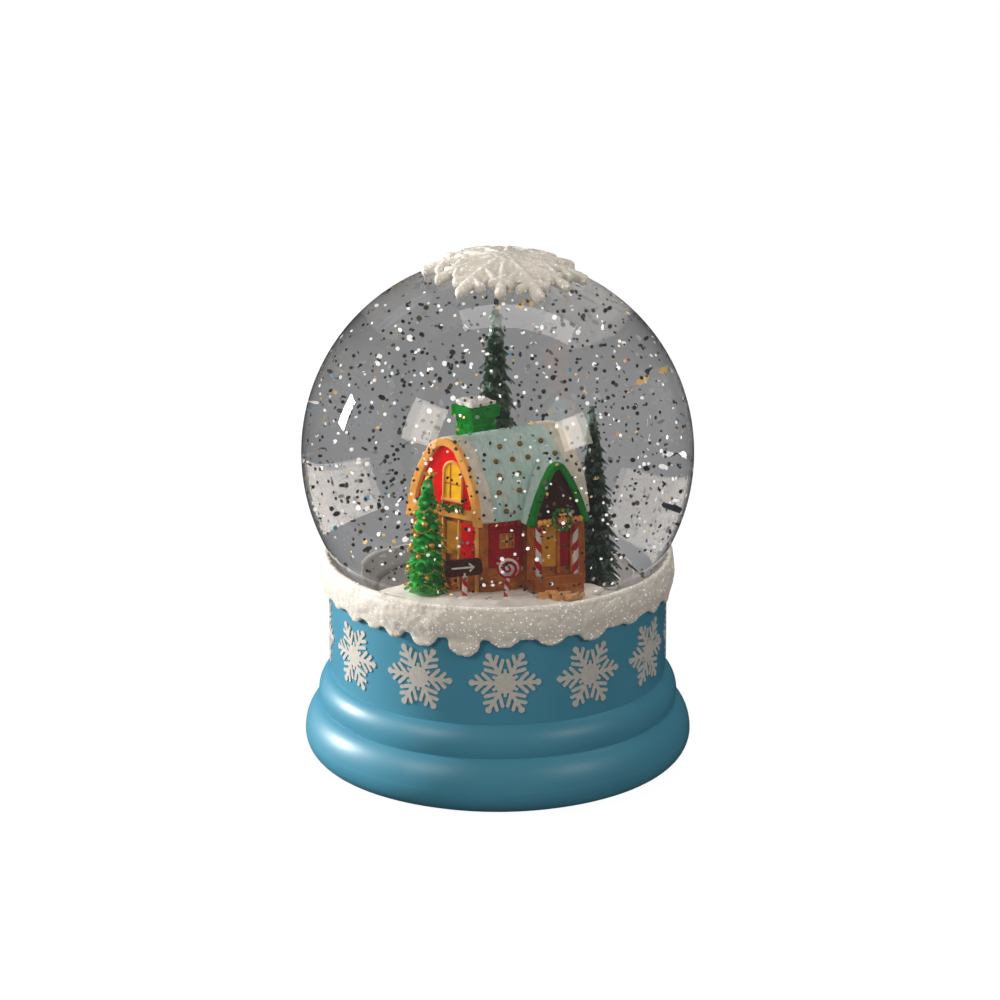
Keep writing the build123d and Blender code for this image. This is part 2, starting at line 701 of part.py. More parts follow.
# ---- garden -------------------------------------------------------------------------
TREE_TAPER = 0.45       # power by which a tree narrows towards its tip


def tree(x, y, z0, z1, radius, tiers, trunk, tip=0.15):
    """Conifer as a stack of skirts turned about its own axis."""
    step = (z1 - z0) / tiers
    points = [(0, COTTAGE_BASE), (trunk, COTTAGE_BASE), (trunk, z0)]
    for i in range(tiers):
        share = 1 - i / tiers
        skirt = radius * share ** TREE_TAPER
        inner = tip if i == tiers - 1 else 0.55 * radius * (1 - (i + 1) / tiers) ** TREE_TAPER
        points += [(skirt, z0 + i * step), (inner, z0 + (i + 1) * step)]
    points += [(0, z1), (0, COTTAGE_BASE)]
    return Pos(x, y, 0) * revolve(Plane.XZ * make_face(Polyline(*points)), axis=Axis.Z)


# x, y, height of the lowest skirt, height of the tip, radius
BACK_PINE = (-0.6, 24.0, 84.5, 154.8, 7.2)
RIGHT_PINE = (26.6, 8.0, 82.6, 132.8, 5.3)
CHRISTMAS_TREE = (-21.2, -15.5, 82.8, 118.2, 7.0)


def back_pine():
    return tree(*BACK_PINE, 9, 1.3)


def right_pine():
    return tree(*RIGHT_PINE, 8, 1.1)


def christmas_tree():
    return tree(*CHRISTMAS_TREE, 6, 1.3, tip=0.3)


def tree_envelope(x, y, z0, z1, radius):
    """Smooth shape a little larger than a tree."""
    points = [(0, 60), (radius + 0.7, 60)]
    for share in (0, 0.3, 0.5, 0.7, 0.8, 0.9, 0.96, 1):
        points.append((radius * (1 - share) ** TREE_TAPER + 0.7, z0 + (z1 - z0) * share))
    points += [(0, z1 + 0.7), (0, 60)]
    return Pos(x, y, 0) * revolve(Plane.XZ * make_face(Polyline(*points)), axis=Axis.Z)


def tree_star():
    points = []
    for i in range(10):
        r = 2.8 if i % 2 == 0 else 1.2
        a = radians(90 + 36 * i)
        points.append((r * cos(a), r * sin(a)))
    face = make_face(Polyline(*points, close=True))
    middle = (CHRISTMAS_TREE[0] + 0.5, CHRISTMAS_TREE[1] + 0.6, 119.6)
    plane = Plane(origin=middle, x_dir=(1, 0, 0), z_dir=(0, -1, 0))
    return extrude(plane * face, amount=1.2) - christmas_tree()


def sign_board():
    board = fillet(Box(12.0, 1.6, 5.6).edges().filter_by(Axis.Y), 1.6)
    return Pos(-10.7, -24.0, 92.5) * Rot(0, -6.5, 0) * board


def sign_post():
    return cyl(0.9, COTTAGE_BASE, 91, -10.2, -24.0) - sign_board()


LOLLIPOP = Vector(3.3, -25.0, 92.6)
LOLLIPOP_R = 3.5
LOLLIPOP_LEAN = 4.5


def lollipop_disc():
    return Pos(LOLLIPOP) * Rot(90, 0, 0) * fillet(Cylinder(LOLLIPOP_R, 2.0).edges(), 0.7)


def lollipop_stick():
    rod = Pos(0, 0, -7.2) * Cylinder(0.8, 9.6)
    rod = Pos(LOLLIPOP) * Rot(0, LOLLIPOP_LEAN, 0) * rod
    return rod - lollipop_disc()


STONES = [(16.4, -19.2, 2.0), (20.6, -19.0, 1.9), (18.7, -22.6, 1.9), (23.0, -22.2, 2.0)]
STONES += [(25.2, -18.6, 1.8), (14.2, -22.4, 1.7)]


def path_stones():
    stones = []
    for x, y, r in STONES:
        top = 83.6 - 0.0038 * hypot(x, y) ** 2 + 0.5
        stones.append(cyl(r, COTTAGE_BASE - 2.5, top, x, y))
    return group(stones)


# ---- topper and water ---------------------------------------------------------------
def snowflake_topper():
    """Domed snowflake that hugs the top of the ball."""
    face = Circle(TOPPER_HUB)
    tip = TOPPER_R - 2.4
    wide = rect(0, tip, -2.3, 2.3) + Pos(tip, 0) * Circle(2.4)
    for side in (-60, 60):
        barb = rect(0, 3.8, -1.8, 1.8) + Pos(3.8, 0) * Circle(2.0)
        wide = wide + Pos(23.5, 0) * Rot(0, 0, side) * barb
    narrow = rect(0, 25.6, -2.0, 2.0) + Pos(25.6, 0) * Circle(2.8)
    for i in range(6):
        face = face + Rot(0, 0, 60 * i) * wide + Rot(0, 0, 60 * i + 30) * narrow
    tall = extrude(Rot(0, 0, TOPPER_TURN) * Pos(0, 0, 40) * face, amount=60)
    shell = Sphere(GLOBE_R + FIT + TOPPER_T) - Sphere(GLOBE_R + FIT)
    cap = max((tall & shell).solids(), key=lambda s: s.volume)
    return Pos(0, 0, GLOBE_Z) * Rot(0, TOPPER_TILT, 0) * cap


def scene_envelopes():
    """Simple closed shapes, each a little larger than the piece that it holds."""
    cottage = gable_prism(main_arch(-0.6, EAVE_Z - 1.5), -2.4, COTTAGE_L + 0.5)
    cottage = cottage + gable_prism(rect(-28.4, 0.6, 60, 104), -2.4, COTTAGE_L + 0.5)
    porch = side_prism(porch_arch(-0.5, PORCH_EAVE - 1.0), -4, 9.6)
    porch = porch + side_prism(rect(12.0, 32.4, 60, PORCH_EAVE + 0.1), -4, 9.6)
    stack = slab(CHIMNEY_CORNER - GABLE_DIR * 0.5 - RIDGE_DIR * 0.5, 8.8, 10.2, 105, 137.4)
    shapes = [cottage + porch + stack]
    shapes += [tree_envelope(*tree_size) for tree_size in (BACK_PINE, RIGHT_PINE, CHRISTMAS_TREE)]
    shapes.append(block(-24, -17.2, -17, -14, 116, 123))
    shapes.append(block(-17.4, -4.0, -25.2, -22.8, 88.4, 96.8))
    shapes.append(cyl(1.3, 70, 92, -10.2, -24))
    shapes.append(block(-1, 7.4, -26.4, -23.6, 70, 96.6))
    shapes += [cyl(r + 0.3, 70, 86, x, y) for x, y, r in STONES]
    return shapes


def liquid_fill():
    """Water round the scene, down through the swirl holes and round the impeller."""
    inner = GLOBE_R - GLASS - WATER_GAP
    join = sphere_r(inner, 68.0)
    rim = 46.2 + WATER_GAP
    top = GLOBE_Z + inner
    bulge = ThreePointArc((join, 68.0), (inner, GLOBE_Z), (0, top))
    floor = ground_top(WATER_GAP)
    edges = [Line((rim, 69.0 + WATER_GAP), (rim, 68.0)), Line((rim, 68.0), (join, 68.0)), bulge]
    edges += [Line((0, top), (0, 83.6 + WATER_GAP)), floor]
    edges += [Line((46.2, 69.0 + WATER_GAP), (rim, 69.0 + WATER_GAP))]
    water = turned(*edges)
    for shape in scene_envelopes():
        water = water - shape
    gap = WATER_GAP
    points = [(0, 53.4), (44.4, 53.4), (44.4, 66 - gap), (41.9, 66 - gap), (41.9, 68.4)]
    points += [(30, 74.4), (0, 77.4), (0, 53.4)]
    chamber = revolve(Plane.XZ * make_face(Polyline(*points)), axis=Axis.Z)
    chamber = chamber - cyl(16, 50, 64)
    water = water + chamber
    for at in SWIRL_HOLES:
        water = water + cyl(2.4, 68, 76.5, at.X, at.Y)
    return max(water.solids(), key=lambda s: s.volume)


# ---- assembly -----------------------------------------------------------------------
def scene_pieces():
    names = [
        cottage_walls, cottage_roof, gable_trim, gable_panel, porch_walls, porch_roof,
        porch_gable_panel, candy_columns, door_wreath, chimney, chimney_snow, path_stones,
        back_pine, right_pine, christmas_tree, tree_star, sign_board, sign_post,
        lollipop_disc, lollipop_stick,
    ]
    pieces = {make.__name__: make() for make in names}
    pieces["attic_window"] = gable_prism(ATTIC_WINDOW, -1.0, 1.2)
    pieces["gold_door"] = gable_prism(GOLD_DOOR, -0.5, 1.2)
    pieces["red_door"] = gable_prism(RED_DOOR, -0.5, 1.2)
    block_shutter = side_prism(SHUTTER, -1.2, 0.7) - side_prism(SIDE_WINDOW, -2, 2)
    pieces["red_shutters"] = group([block_shutter, side_prism(PORCH_SLOT, 4.2, 6.0)])
    pieces["side_window"] = side_prism(SIDE_WINDOW, -1.0, 0.4)
    pieces["porch_door"] = side_prism(PORCH_DOOR, 4.2, 6.0)
    return pieces


def ground_cutters(pieces):
    pressed = [cottage_block(), porch_block() + porch_plinth()]
    for name in ("back_pine", "right_pine", "christmas_tree", "sign_post", "lollipop_stick"):
        pressed.append(pieces[name])
    return pressed + list(pieces["path_stones"].solids())


def all_pieces():
    makers = [
        base_housing, foot_ring, base_snowflakes, snow_trim, globe_shell, liquid_fill,
        snowflake_topper, neck_plug, neck_gasket, clamp_ring, clamp_ring_screws, impeller,
        impeller_magnets, impeller_pin, drive_disc, drive_magnets, motor_shaft, motor,
        motor_bracket, bracket_screws, led_board, led_lamps, bottom_plate,
        bottom_plate_screws, batteries, battery_springs, battery_contacts, battery_door,
        door_screw, switch_body, switch_knob, circuit_board, wires,
    ]
    pieces = {make.__name__: make() for make in makers}
    scene = scene_pieces()
    pieces.update(scene)
    pieces["snow_ground"] = snow_ground(ground_cutters(scene))
    return pieces


os.makedirs("parts", exist_ok=True)
for node, shape in all_pieces().items():
    export_step(shape, "parts/" + node + ".step")
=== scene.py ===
import json
import random
from math import atan2, cos, hypot, pi, radians, sin, sqrt, tau

import bmesh
import bpy
import numpy as np
from mathutils import Matrix, Vector, noise
from mathutils.bvhtree import BVHTree

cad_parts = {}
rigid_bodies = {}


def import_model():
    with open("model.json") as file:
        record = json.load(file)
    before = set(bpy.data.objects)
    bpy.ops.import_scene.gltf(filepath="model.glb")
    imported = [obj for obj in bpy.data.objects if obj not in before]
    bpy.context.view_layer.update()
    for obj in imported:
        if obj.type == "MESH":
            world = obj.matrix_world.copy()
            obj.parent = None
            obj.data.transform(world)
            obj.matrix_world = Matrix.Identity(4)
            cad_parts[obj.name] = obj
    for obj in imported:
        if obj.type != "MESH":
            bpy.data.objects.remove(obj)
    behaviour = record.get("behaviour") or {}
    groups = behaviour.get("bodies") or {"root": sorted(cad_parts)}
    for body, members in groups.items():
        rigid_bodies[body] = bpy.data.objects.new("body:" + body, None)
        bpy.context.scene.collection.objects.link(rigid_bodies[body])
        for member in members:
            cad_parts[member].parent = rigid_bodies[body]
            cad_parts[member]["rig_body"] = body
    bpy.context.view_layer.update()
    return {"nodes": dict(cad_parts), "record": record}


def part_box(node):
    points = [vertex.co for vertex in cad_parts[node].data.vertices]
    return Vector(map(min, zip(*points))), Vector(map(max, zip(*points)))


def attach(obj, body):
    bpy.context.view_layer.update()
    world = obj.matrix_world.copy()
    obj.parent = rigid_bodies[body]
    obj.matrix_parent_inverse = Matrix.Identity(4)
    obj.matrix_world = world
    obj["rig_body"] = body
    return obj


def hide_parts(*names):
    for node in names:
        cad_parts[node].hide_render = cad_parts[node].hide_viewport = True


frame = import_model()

MM = 0.001
SCENE = bpy.context.scene
UP = Vector((0, 0, 1))


# ---- numbers read from the frame, in millimetres ------------------------------------
def corners(node):
    low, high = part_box(node)
    return low / MM, high / MM


def points_of(node):
    return np.array([v.co for v in frame["nodes"][node].data.vertices], float) / MM


def middle_of(node):
    low, high = corners(node)
    return (low + high) / 2


def half_width(node):
    low, high = corners(node)
    return (high.x - low.x) / 2


GLOBE_R = half_width("globe_shell")
GLOBE_Z = corners("globe_shell")[1].z - GLOBE_R
NECK_Z = corners("globe_shell")[0].z
WATER_R = half_width("liquid_fill")
DRUM_R = half_width("base_snowflakes")
TRIM_TOP = corners("snow_trim")[1].z
SNOW_TOP = corners("snow_ground")[1].z


def cottage_frame():
    """Near corner of the cottage walls, and the runs of its gable wall and its long wall."""
    points = points_of("cottage_walls")
    ground = points[points[:, 2] < points[:, 2].min() + 0.05]
    near = Vector(ground[ground[:, 1].argmin()])
    left = Vector(ground[ground[:, 0].argmin()])
    right = Vector(ground[ground[:, 0].argmax()])
    return near, left - near, right - near


WALL_CORNER, GABLE_RUN, RIDGE_RUN = cottage_frame()
GABLE_DIR, RIDGE_DIR = GABLE_RUN.normalized(), RIDGE_RUN.normalized()
GABLE_OUT = Vector((-GABLE_DIR.y, GABLE_DIR.x, 0))
if GABLE_OUT.y > 0:
    GABLE_OUT = -GABLE_OUT
SIDE_OUT = Vector((RIDGE_DIR.y, -RIDGE_DIR.x, 0))


def on_gable(u, z, out):
    """Point on the gable wall: u from the near corner, out from the wall's face."""
    at = WALL_CORNER + GABLE_DIR * u + GABLE_OUT * out
    return Vector((at.x, at.y, z))


def on_side(v, z, out):
    """Point on the long wall: v from the near corner, out from the wall's face."""
    at = WALL_CORNER + RIDGE_DIR * v + SIDE_OUT * out
    return Vector((at.x, at.y, z))


def gable_u(point):
    """Inverse of on_gable and on_side: how far a point lies along each wall."""
    d = point - WALL_CORNER
    det = GABLE_DIR.x * RIDGE_DIR.y - GABLE_DIR.y * RIDGE_DIR.x
    u = (d.x * RIDGE_DIR.y - d.y * RIDGE_DIR.x) / det
    t = (GABLE_DIR.x * d.y - GABLE_DIR.y * d.x) / det
    return u, t


# ---- colours and shader values ------------------------------------------------------
def rgb(r, g, b):
    """Linear colour of a paint given as 0 to 255 display values."""
    def linear(c):
        c = c / 255
        return c / 12.92 if c <= 0.04045 else ((c + 0.055) / 1.055) ** 2.4
    return (linear(r), linear(g), linear(b), 1.0)


class Value:
    """A node's output. Arithmetic on it adds Math nodes."""

    def __init__(self, tree, socket):
        self.tree, self.socket = tree, socket

    def math(self, operation, *values):
        node = self.tree.nodes.new("ShaderNodeMath")
        node.operation = operation
        for slot, value in zip(node.inputs, values):
            feed(self.tree, slot, value)
        return Value(self.tree, node.outputs[0])

    def __add__(self, other):
        return self.math("ADD", self, other)

    def __radd__(self, other):
        return self.math("ADD", other, self)

    def __sub__(self, other):
        return self.math("SUBTRACT", self, other)

    def __rsub__(self, other):
        return self.math("SUBTRACT", other, self)

    def __mul__(self, other):
        return self.math("MULTIPLY", self, other)

    def __rmul__(self, other):
        return self.math("MULTIPLY", other, self)

    def __pow__(self, other):
        return self.math("POWER", self, other)

    def over(self, edge):
        return self.math("GREATER_THAN", self, edge)


def feed(tree, slot, value):
    if isinstance(value, Value):
        tree.links.new(value.socket, slot)
    else:
        slot.default_value = value


def mix_shaders(tree, share, one, other):
    """Output of a mix of two shader outputs; share is a number or an output."""
    mix = tree.nodes.new("ShaderNodeMixShader")
    if isinstance(share, float):
        mix.inputs[0].default_value = share
    else:
        tree.links.new(share, mix.inputs[0])
    tree.links.new(one, mix.inputs[1])
    tree.links.new(other, mix.inputs[2])
    return mix.outputs[0]


class Finish:
    """One node material: a Principled surface and the nodes that feed it."""

    def __init__(self, name, **fixed):
        self.material = bpy.data.materials.new(name)
        self.material.use_nodes = True
        self.tree = self.material.node_tree
        self.surface = self.tree.nodes["Principled BSDF"]
        self.output = self.tree.nodes["Material Output"]
        self.set(**fixed)

    def set(self, **values):
        """Sets sockets of the surface; Base_Color stands for Base Color."""
        for name, value in values.items():
            feed(self.tree, self.surface.inputs[name.replace("_", " ")], value)
        return self

    def node(self, kind, settings=None, values=None, out=0):
        """Adds a node with its settings and inputs, and returns one of its outputs."""
        node = self.tree.nodes.new(kind)
        for key, value in (settings or {}).items():
            setattr(node, key, value)
        for key, value in (values or {}).items():
            feed(self.tree, node.inputs[key], value)
        return Value(self.tree, node.outputs[out])

    def place(self, scale=(1, 1, 1)):
        """Object coordinates in millimetres, stretched by scale."""
        at = self.node("ShaderNodeTexCoord", out="Object")
        stretch = tuple(s / MM for s in scale)
        return self.node("ShaderNodeVectorMath", {"operation": "MULTIPLY"}, {0: at, 1: stretch})

    def noise(self, size, detail=4.0, scale=(1, 1, 1)):
        """Noise from 0 to 1 whose lumps are about size millimetres."""
        values = {"Vector": self.place(scale), "Scale": 1 / size}
        values |= {"Detail": detail, "Roughness": 0.55}
        return self.node("ShaderNodeTexNoise", None, values)

    def cells(self, size, out="Distance"):
        """Cell pattern whose cells are about size millimetres."""
        values = {"Vector": self.place(), "Scale": 1 / size}
        return self.node("ShaderNodeTexVoronoi", None, values, out=out)

    def attribute(self, name, out="Fac"):
        """Value that the mesh carries under this name."""
        return self.node("ShaderNodeAttribute", {"attribute_name": name}, out=out)

    def scaled(self, colour, share):
        values = {0: colour, "Scale": share}
        return self.node("ShaderNodeVectorMath", {"operation": "SCALE"}, values)

    def red_of(self, colour):
        return self.node("ShaderNodeSeparateColor", None, {0: colour})

    def mix(self, share, low, high):
        settings = {"data_type": "RGBA", "clamp_factor": True}
        values = {0: share, 6: low, 7: high}
        return self.node("ShaderNodeMix", settings, values, out=2)

    def two_tone(self, size, one, other, low=0.35, high=0.68, detail=4.0):
        """Two colours in soft patches of about size millimetres."""
        return self.mix(self.range(self.noise(size, detail), low, high), one, other)

    def bump(self, height, strength, depth):
        """Raised grain; depth in millimetres."""
        values = {"Height": height, "Strength": strength, "Distance": depth * MM}
        return self.set(Normal=self.node("ShaderNodeBump", None, values))

    def range(self, value, low, high, to_low=0.0, to_high=1.0):
        values = {0: value, 1: low, 2: high, 3: to_low, 4: to_high}
        return self.node("ShaderNodeMapRange", {"clamp": True}, values)

    def sheen(self, grain, low, high):
        """Roughness that wanders from low to high with a noise."""
        return self.set(Roughness=self.range(grain, 0.3, 0.7, low, high))


def paint(name, colour, shade, rough, coat=0.0, patch=3.0):
    """Hand-painted surface: two tones in soft patches, with a little grain."""
    finish = Finish(name, Coat_Weight=coat * 0.2, Coat_Roughness=0.15, Specular_IOR_Level=0.1)
    finish.set(Base_Color=finish.two_tone(patch, colour, shade))
    fine = finish.noise(0.4, detail=3.0)
    finish.sheen(fine, rough - 0.08, rough + 0.1)
    finish.bump(fine + 0.6 * finish.noise(patch * 0.5), 0.12, 0.15)
    return finish.material


def lets_light_in(finish):
    """Lamps and soft bounce light go straight through a clear piece."""
    tree = finish.tree
    path = tree.nodes.new("ShaderNodeLightPath").outputs
    shadow, diffuse = Value(tree, path["Is Shadow Ray"]), Value(tree, path["Is Diffuse Ray"])
    through = shadow.math("MAXIMUM", shadow, diffuse).socket
    clear = tree.nodes.new("ShaderNodeBsdfTransparent").outputs[0]
    mixed = mix_shaders(tree, through, finish.surface.outputs[0], clear)
    tree.links.new(mixed, finish.output.inputs["Surface"])
    return finish.material


def clear_glass():
    finish = Finish("clear_ball", Transmission_Weight=1.0, IOR=1.49, Specular_IOR_Level=0.17)
    finish.set(Base_Color=(1, 1, 1, 1))
    smear = finish.noise(22.0, detail=5.0)
    finish.set(Roughness=finish.range(smear, 0.5, 0.9, 0.0, 0.012))
    return lets_light_in(finish)


def clear_water():
    finish = Finish("water", Transmission_Weight=1.0, IOR=1.333, Specular_IOR_Level=0.0)
    cool, neutral = (0.985, 0.99, 1, 1), (0.99, 0.995, 1, 1)
    finish.set(Base_Color=finish.two_tone(60.0, cool, neutral, 0.3, 0.7, 1.0), Roughness=0.0)
    return lets_light_in(finish)


def painted_shade_inside(finish):
    """1 on the hidden inner side of the housing, which gets a painted grey shade; 0 on its painted
    outside.
    """
    at = finish.node("ShaderNodeSeparateXYZ", None, {0: finish.place()})
    x, y, z = (Value(finish.tree, at.socket.node.outputs[i]) for i in range(3))
    r = (x * x + y * y) ** 0.5
    wall, floor_top = DRUM_R - 0.7, 20.0
    return r.math("LESS_THAN", r, wall) * z.over(floor_top)


def satin_blue():
    finish = Finish("base_blue_paint")
    finish.set(Coat_Weight=0.6, Coat_Roughness=0.5, Specular_IOR_Level=0.35)
    blue = finish.two_tone(30.0, rgb(74, 154, 184), rgb(80, 160, 190), 0.3, 0.7, 2.0)
    # The hidden inside of the housing is painted grey, as shade.
    finish.set(Base_Color=finish.mix(painted_shade_inside(finish), blue, rgb(132, 129, 125)))
    fine = finish.noise(0.35, detail=2.0)
    finish.sheen(fine, 0.33, 0.43)
    finish.bump(fine, 0.05, 0.03)
    return finish.material


def glitter_snow():
    """White modelled snow, set with fine silver glitter whose specks are whitened and glow as painted
    glints; painted grey shade on the hidden inside.
    """
    finish = Finish("glitter_snow")
    lumps = finish.noise(2.2, detail=5.0)
    # Glitter specks, whitened and made to glow below: painted glints.
    glint_specks = finish.red_of(finish.cells(0.42, out="Color")).over(0.96)
    tone = finish.range(lumps, 0.3, 0.75)
    white = finish.mix(tone, rgb(232, 226, 216), rgb(250, 245, 236))
    white = finish.mix(glint_specks, white, rgb(255, 252, 245))
    # Inward faces are painted grey, as shade.
    inner = finish.attribute("inner")
    finish.set(Base_Color=finish.mix(inner, white, rgb(134, 131, 126)))
    finish.set(Roughness=0.5 - 0.3 * glint_specks)
    finish.set(Emission_Color=finish.scaled(white, glint_specks), Emission_Strength=0.45)
    finish.bump(lumps + 0.25 * finish.cells(0.5), 0.3, 0.3)
    return finish.material


def mould_white():
    finish = Finish("flake_print", Roughness=0.55)
    dull, clean = rgb(206, 204, 198), rgb(222, 220, 214)
    finish.set(Base_Color=finish.two_tone(1.2, dull, clean, 0.35, 0.7, 5.0))
    finish.bump(finish.noise(0.5), 0.2, 0.06)
    return finish.material


def resin_snow():
    finish = Finish("resin_snow")
    lumps = finish.noise(5.0, detail=6.0)
    tone = finish.range(lumps, 0.3, 0.7)
    finish.set(Base_Color=finish.mix(tone, rgb(226, 220, 212), rgb(248, 244, 238)))
    finish.sheen(finish.noise(0.6), 0.45, 0.7)
    finish.bump(lumps + 0.4 * finish.noise(0.8), 0.35, 0.4)
    return finish.material


def needle_green(name, deep, light, frost_and_highlight, frost_and_highlight_share):
    """Moulded foliage: two greens in small random patches, with a pale touch on the leaf tips that is
    partly frost and partly painted highlight.
    """
    finish = Finish(name, Coat_Weight=0.06, Coat_Roughness=0.18, Specular_IOR_Level=0.16)
    body = finish.two_tone(1.4, deep, light, 0.35, 0.65)
    frost_and_highlight_patches = finish.range(finish.noise(2.0, detail=5.0), 0.38, 0.6)
    # Pale touch on the tips: partly frost, partly painted highlight.
    touch = finish.attribute("tip") * frost_and_highlight_patches * frost_and_highlight_share
    finish.set(Base_Color=finish.mix(touch, body, frost_and_highlight), Roughness=0.34 + 0.25 * touch)
    finish.bump(finish.noise(0.35, scale=(1, 1, 0.4)), 0.3, 0.12)
    return finish.material


def gilt(name, size, colour, worn, metallic, rough, wear_rough):
    """Gold paint, duller and rougher where it is worn."""
    finish = Finish(name, Metallic=metallic)
    wear = finish.range(finish.noise(size), 0.35, 0.7)
    finish.set(Base_Color=finish.mix(wear, colour, worn))
    finish.set(Roughness=rough + wear_rough * wear)
    return finish.material


def roof_finish():
    """Frosted teal, paler at both ends, with faint strokes down the slope."""
    finish = Finish("roof_teal", Coat_Weight=0.03, Coat_Roughness=0.25, Specular_IOR_Level=0.15)
    stroke = finish.noise(1.1, detail=5.0, scale=(1, 1, 0.16))
    tone = finish.range(stroke, 0.35, 0.68)
    teal = finish.mix(tone, rgb(164, 202, 196), rgb(208, 228, 222))
    cloud = finish.range(finish.noise(9.0), 0.4, 0.7) * 0.5
    teal = finish.mix(cloud, teal, rgb(214, 226, 220))
    cream = finish.two_tone(2.4, rgb(236, 227, 212), rgb(212, 202, 184), 0.35, 0.65)
    finish.set(Base_Color=finish.mix(finish.attribute("pale"), teal, cream))
    finish.sheen(stroke, 0.38, 0.55)
    finish.bump(stroke + 0.5 * finish.noise(0.4), 0.25, 0.12)
    return finish.material


def lit_window(name, colour, shade, glow_strength):
    finish = Finish(name, Specular_IOR_Level=0.15, Emission_Strength=glow_strength)
    pane = finish.two_tone(2.5, colour, shade, 0.3, 0.7)
    finish.set(Base_Color=pane, Emission_Color=pane, Roughness=0.3)
    return finish.material


def plain(name, colour, shade, rough, metallic=0.0):
    """Everyday moulded or drawn part: slight tone and sheen changes."""
    finish = Finish(name, Metallic=metallic)
    finish.set(Base_Color=finish.two_tone(2.0, colour, shade, 0.3, 0.7))
    finish.sheen(finish.noise(0.8), rough * 0.85, rough * 1.15)
    return finish.material


def flake_finish():
    """Loose foil flakes; each keeps the tone that its mesh gives it, and pale ones glow as a painted
    glint.
    """
    finish = Finish("foil_flakes")
    tone, shine = finish.attribute("tone", out="Color"), finish.attribute("shine")
    foil = finish.scaled(tone, finish.range(finish.noise(0.3), 0.3, 0.7, 0.9, 1.0))
    finish.set(Base_Color=foil, Metallic=shine, Roughness=0.3 - 0.1 * shine)
    glint_share = finish.red_of(tone)
    # Pale flakes glow: a painted glint.
    finish.set(Emission_Color=finish.scaled(foil, glint_share * glint_share), Emission_Strength=0.55)
    return finish.material


# ---- making pieces ------------------------------------------------------------------
def link_object(name, data):
    ob = bpy.data.objects.new(name, data)
    SCENE.collection.objects.link(ob)
    return ob


def piece(name, points, faces, finish, slot, **more):
    """Mesh piece from points in millimetres, riding a body of the frame."""
    mesh = bpy.data.meshes.new(name)
    mesh.from_pydata([tuple(Vector(p) * MM) for p in points], [], faces)
    mesh.update()
    return dress(link_object(name, mesh), finish, slot, **more)


def dress(ob, finish, slot, body="root", stands_for=(), smooth=True):
    """Gives a piece its finish, or list of finishes, and its body; its slot argument is not used."""
    ob.data.materials.clear()
    for each in finish if isinstance(finish, list) else [finish]:
        ob.data.materials.append(each)
    if smooth:
        ob.data.shade_smooth()
    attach(ob, body)
    if stands_for:
        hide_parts(*stands_for)
    return ob


def from_bmesh(name, bm, finish, slot, **more):
    bmesh.ops.recalc_face_normals(bm, faces=bm.faces)
    mesh = bpy.data.meshes.new(name)
    bm.to_mesh(mesh)
    bm.free()
    mesh.transform(Matrix.Scale(MM, 4))
    return dress(link_object(name, mesh), finish, slot, **more)


def clean(ob):
    """Drops points that no face uses and turns every face outwards."""
    bm = bmesh.new()
    bm.from_mesh(ob.data)
    loose = [v for v in bm.verts if not v.link_faces]
    bmesh.ops.delete(bm, geom=loose, context="VERTS")
    bmesh.ops.recalc_face_normals(bm, faces=bm.faces)
    bm.to_mesh(ob.data)
    bm.free()


def mark(ob, name, values, kind="FLOAT"):
    """Stores one value or colour for each point of a piece, for its finish to read."""
    layer = ob.data.attributes.new(name, kind, "POINT")
    field = "value" if kind == "FLOAT" else "color"
    layer.data.foreach_set(field, np.array(values, np.float32).ravel())


def fresh_mesh(ob):
    """The object's shape as a mesh, with its modifiers applied."""
    graph = bpy.context.evaluated_depsgraph_get()
    graph.update()
    return bpy.data.meshes.new_from_object(ob.evaluated_get(graph))


def smooth_out(ob, rounds):
    """Smooths a piece and applies all its modifiers."""
    soft = ob.modifiers.new("soft", "SMOOTH")
    soft.factor, soft.iterations = 0.5, rounds
    mesh = fresh_mesh(ob)
    ob.modifiers.clear()
    ob.data = mesh


def ring_faces(start, sides, rows):
    """Faces between rows of points, each row a closed ring."""
    faces = []
    for j in range(rows - 1):
        a, b = start + j * sides, start + (j + 1) * sides
        for i in range(sides):
            k = (i + 1) % sides
            faces.append((a + i, a + k, b + k, b + i))
    return faces


def lathe(profile, steps):
    """Points and faces of a profile of (radius, z) turned about Z."""
    points = []
    for r, z in profile:
        for i in range(steps):
            a = tau * i / steps
            points.append((r * cos(a), r * sin(a), z))
    return points, ring_faces(0, steps, len(profile))


def soften(node, name, finish, slot, voxel, rounds, shape):
    """Soft-edged casting of a CAD node: remeshed, smoothed, and shaped by a function."""
    source = frame["nodes"][node]
    bm = bmesh.new()
    bm.from_mesh(source.data)
    bmesh.ops.remove_doubles(bm, verts=bm.verts, dist=1e-6)
    mesh = bpy.data.meshes.new(name)
    bm.to_mesh(mesh)
    bm.free()
    ob = link_object(name, mesh)
    remesh = ob.modifiers.new("cast", "REMESH")
    remesh.mode, remesh.voxel_size, remesh.adaptivity = "VOXEL", voxel * MM, 0.0
    smooth_out(ob, rounds)
    flat = np.zeros(len(ob.data.vertices) * 3)
    ob.data.vertices.foreach_get("co", flat)
    normals = [v.normal.copy() for v in ob.data.vertices]
    moved = [shape(Vector(p) / MM, n) * MM for p, n in zip(flat.reshape(-1, 3), normals)]
    ob.data.vertices.foreach_set("co", np.array(moved).ravel())
    ob.data.update()
    return dress(ob, finish, slot, body=source["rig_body"], stands_for=(node,))


def lump(point, size, seed):
    """Smooth lumps, -1 to 1, about size millimetres across."""
    return noise.noise(point / size + Vector((seed, 7.3 * seed, -3.1 * seed)))


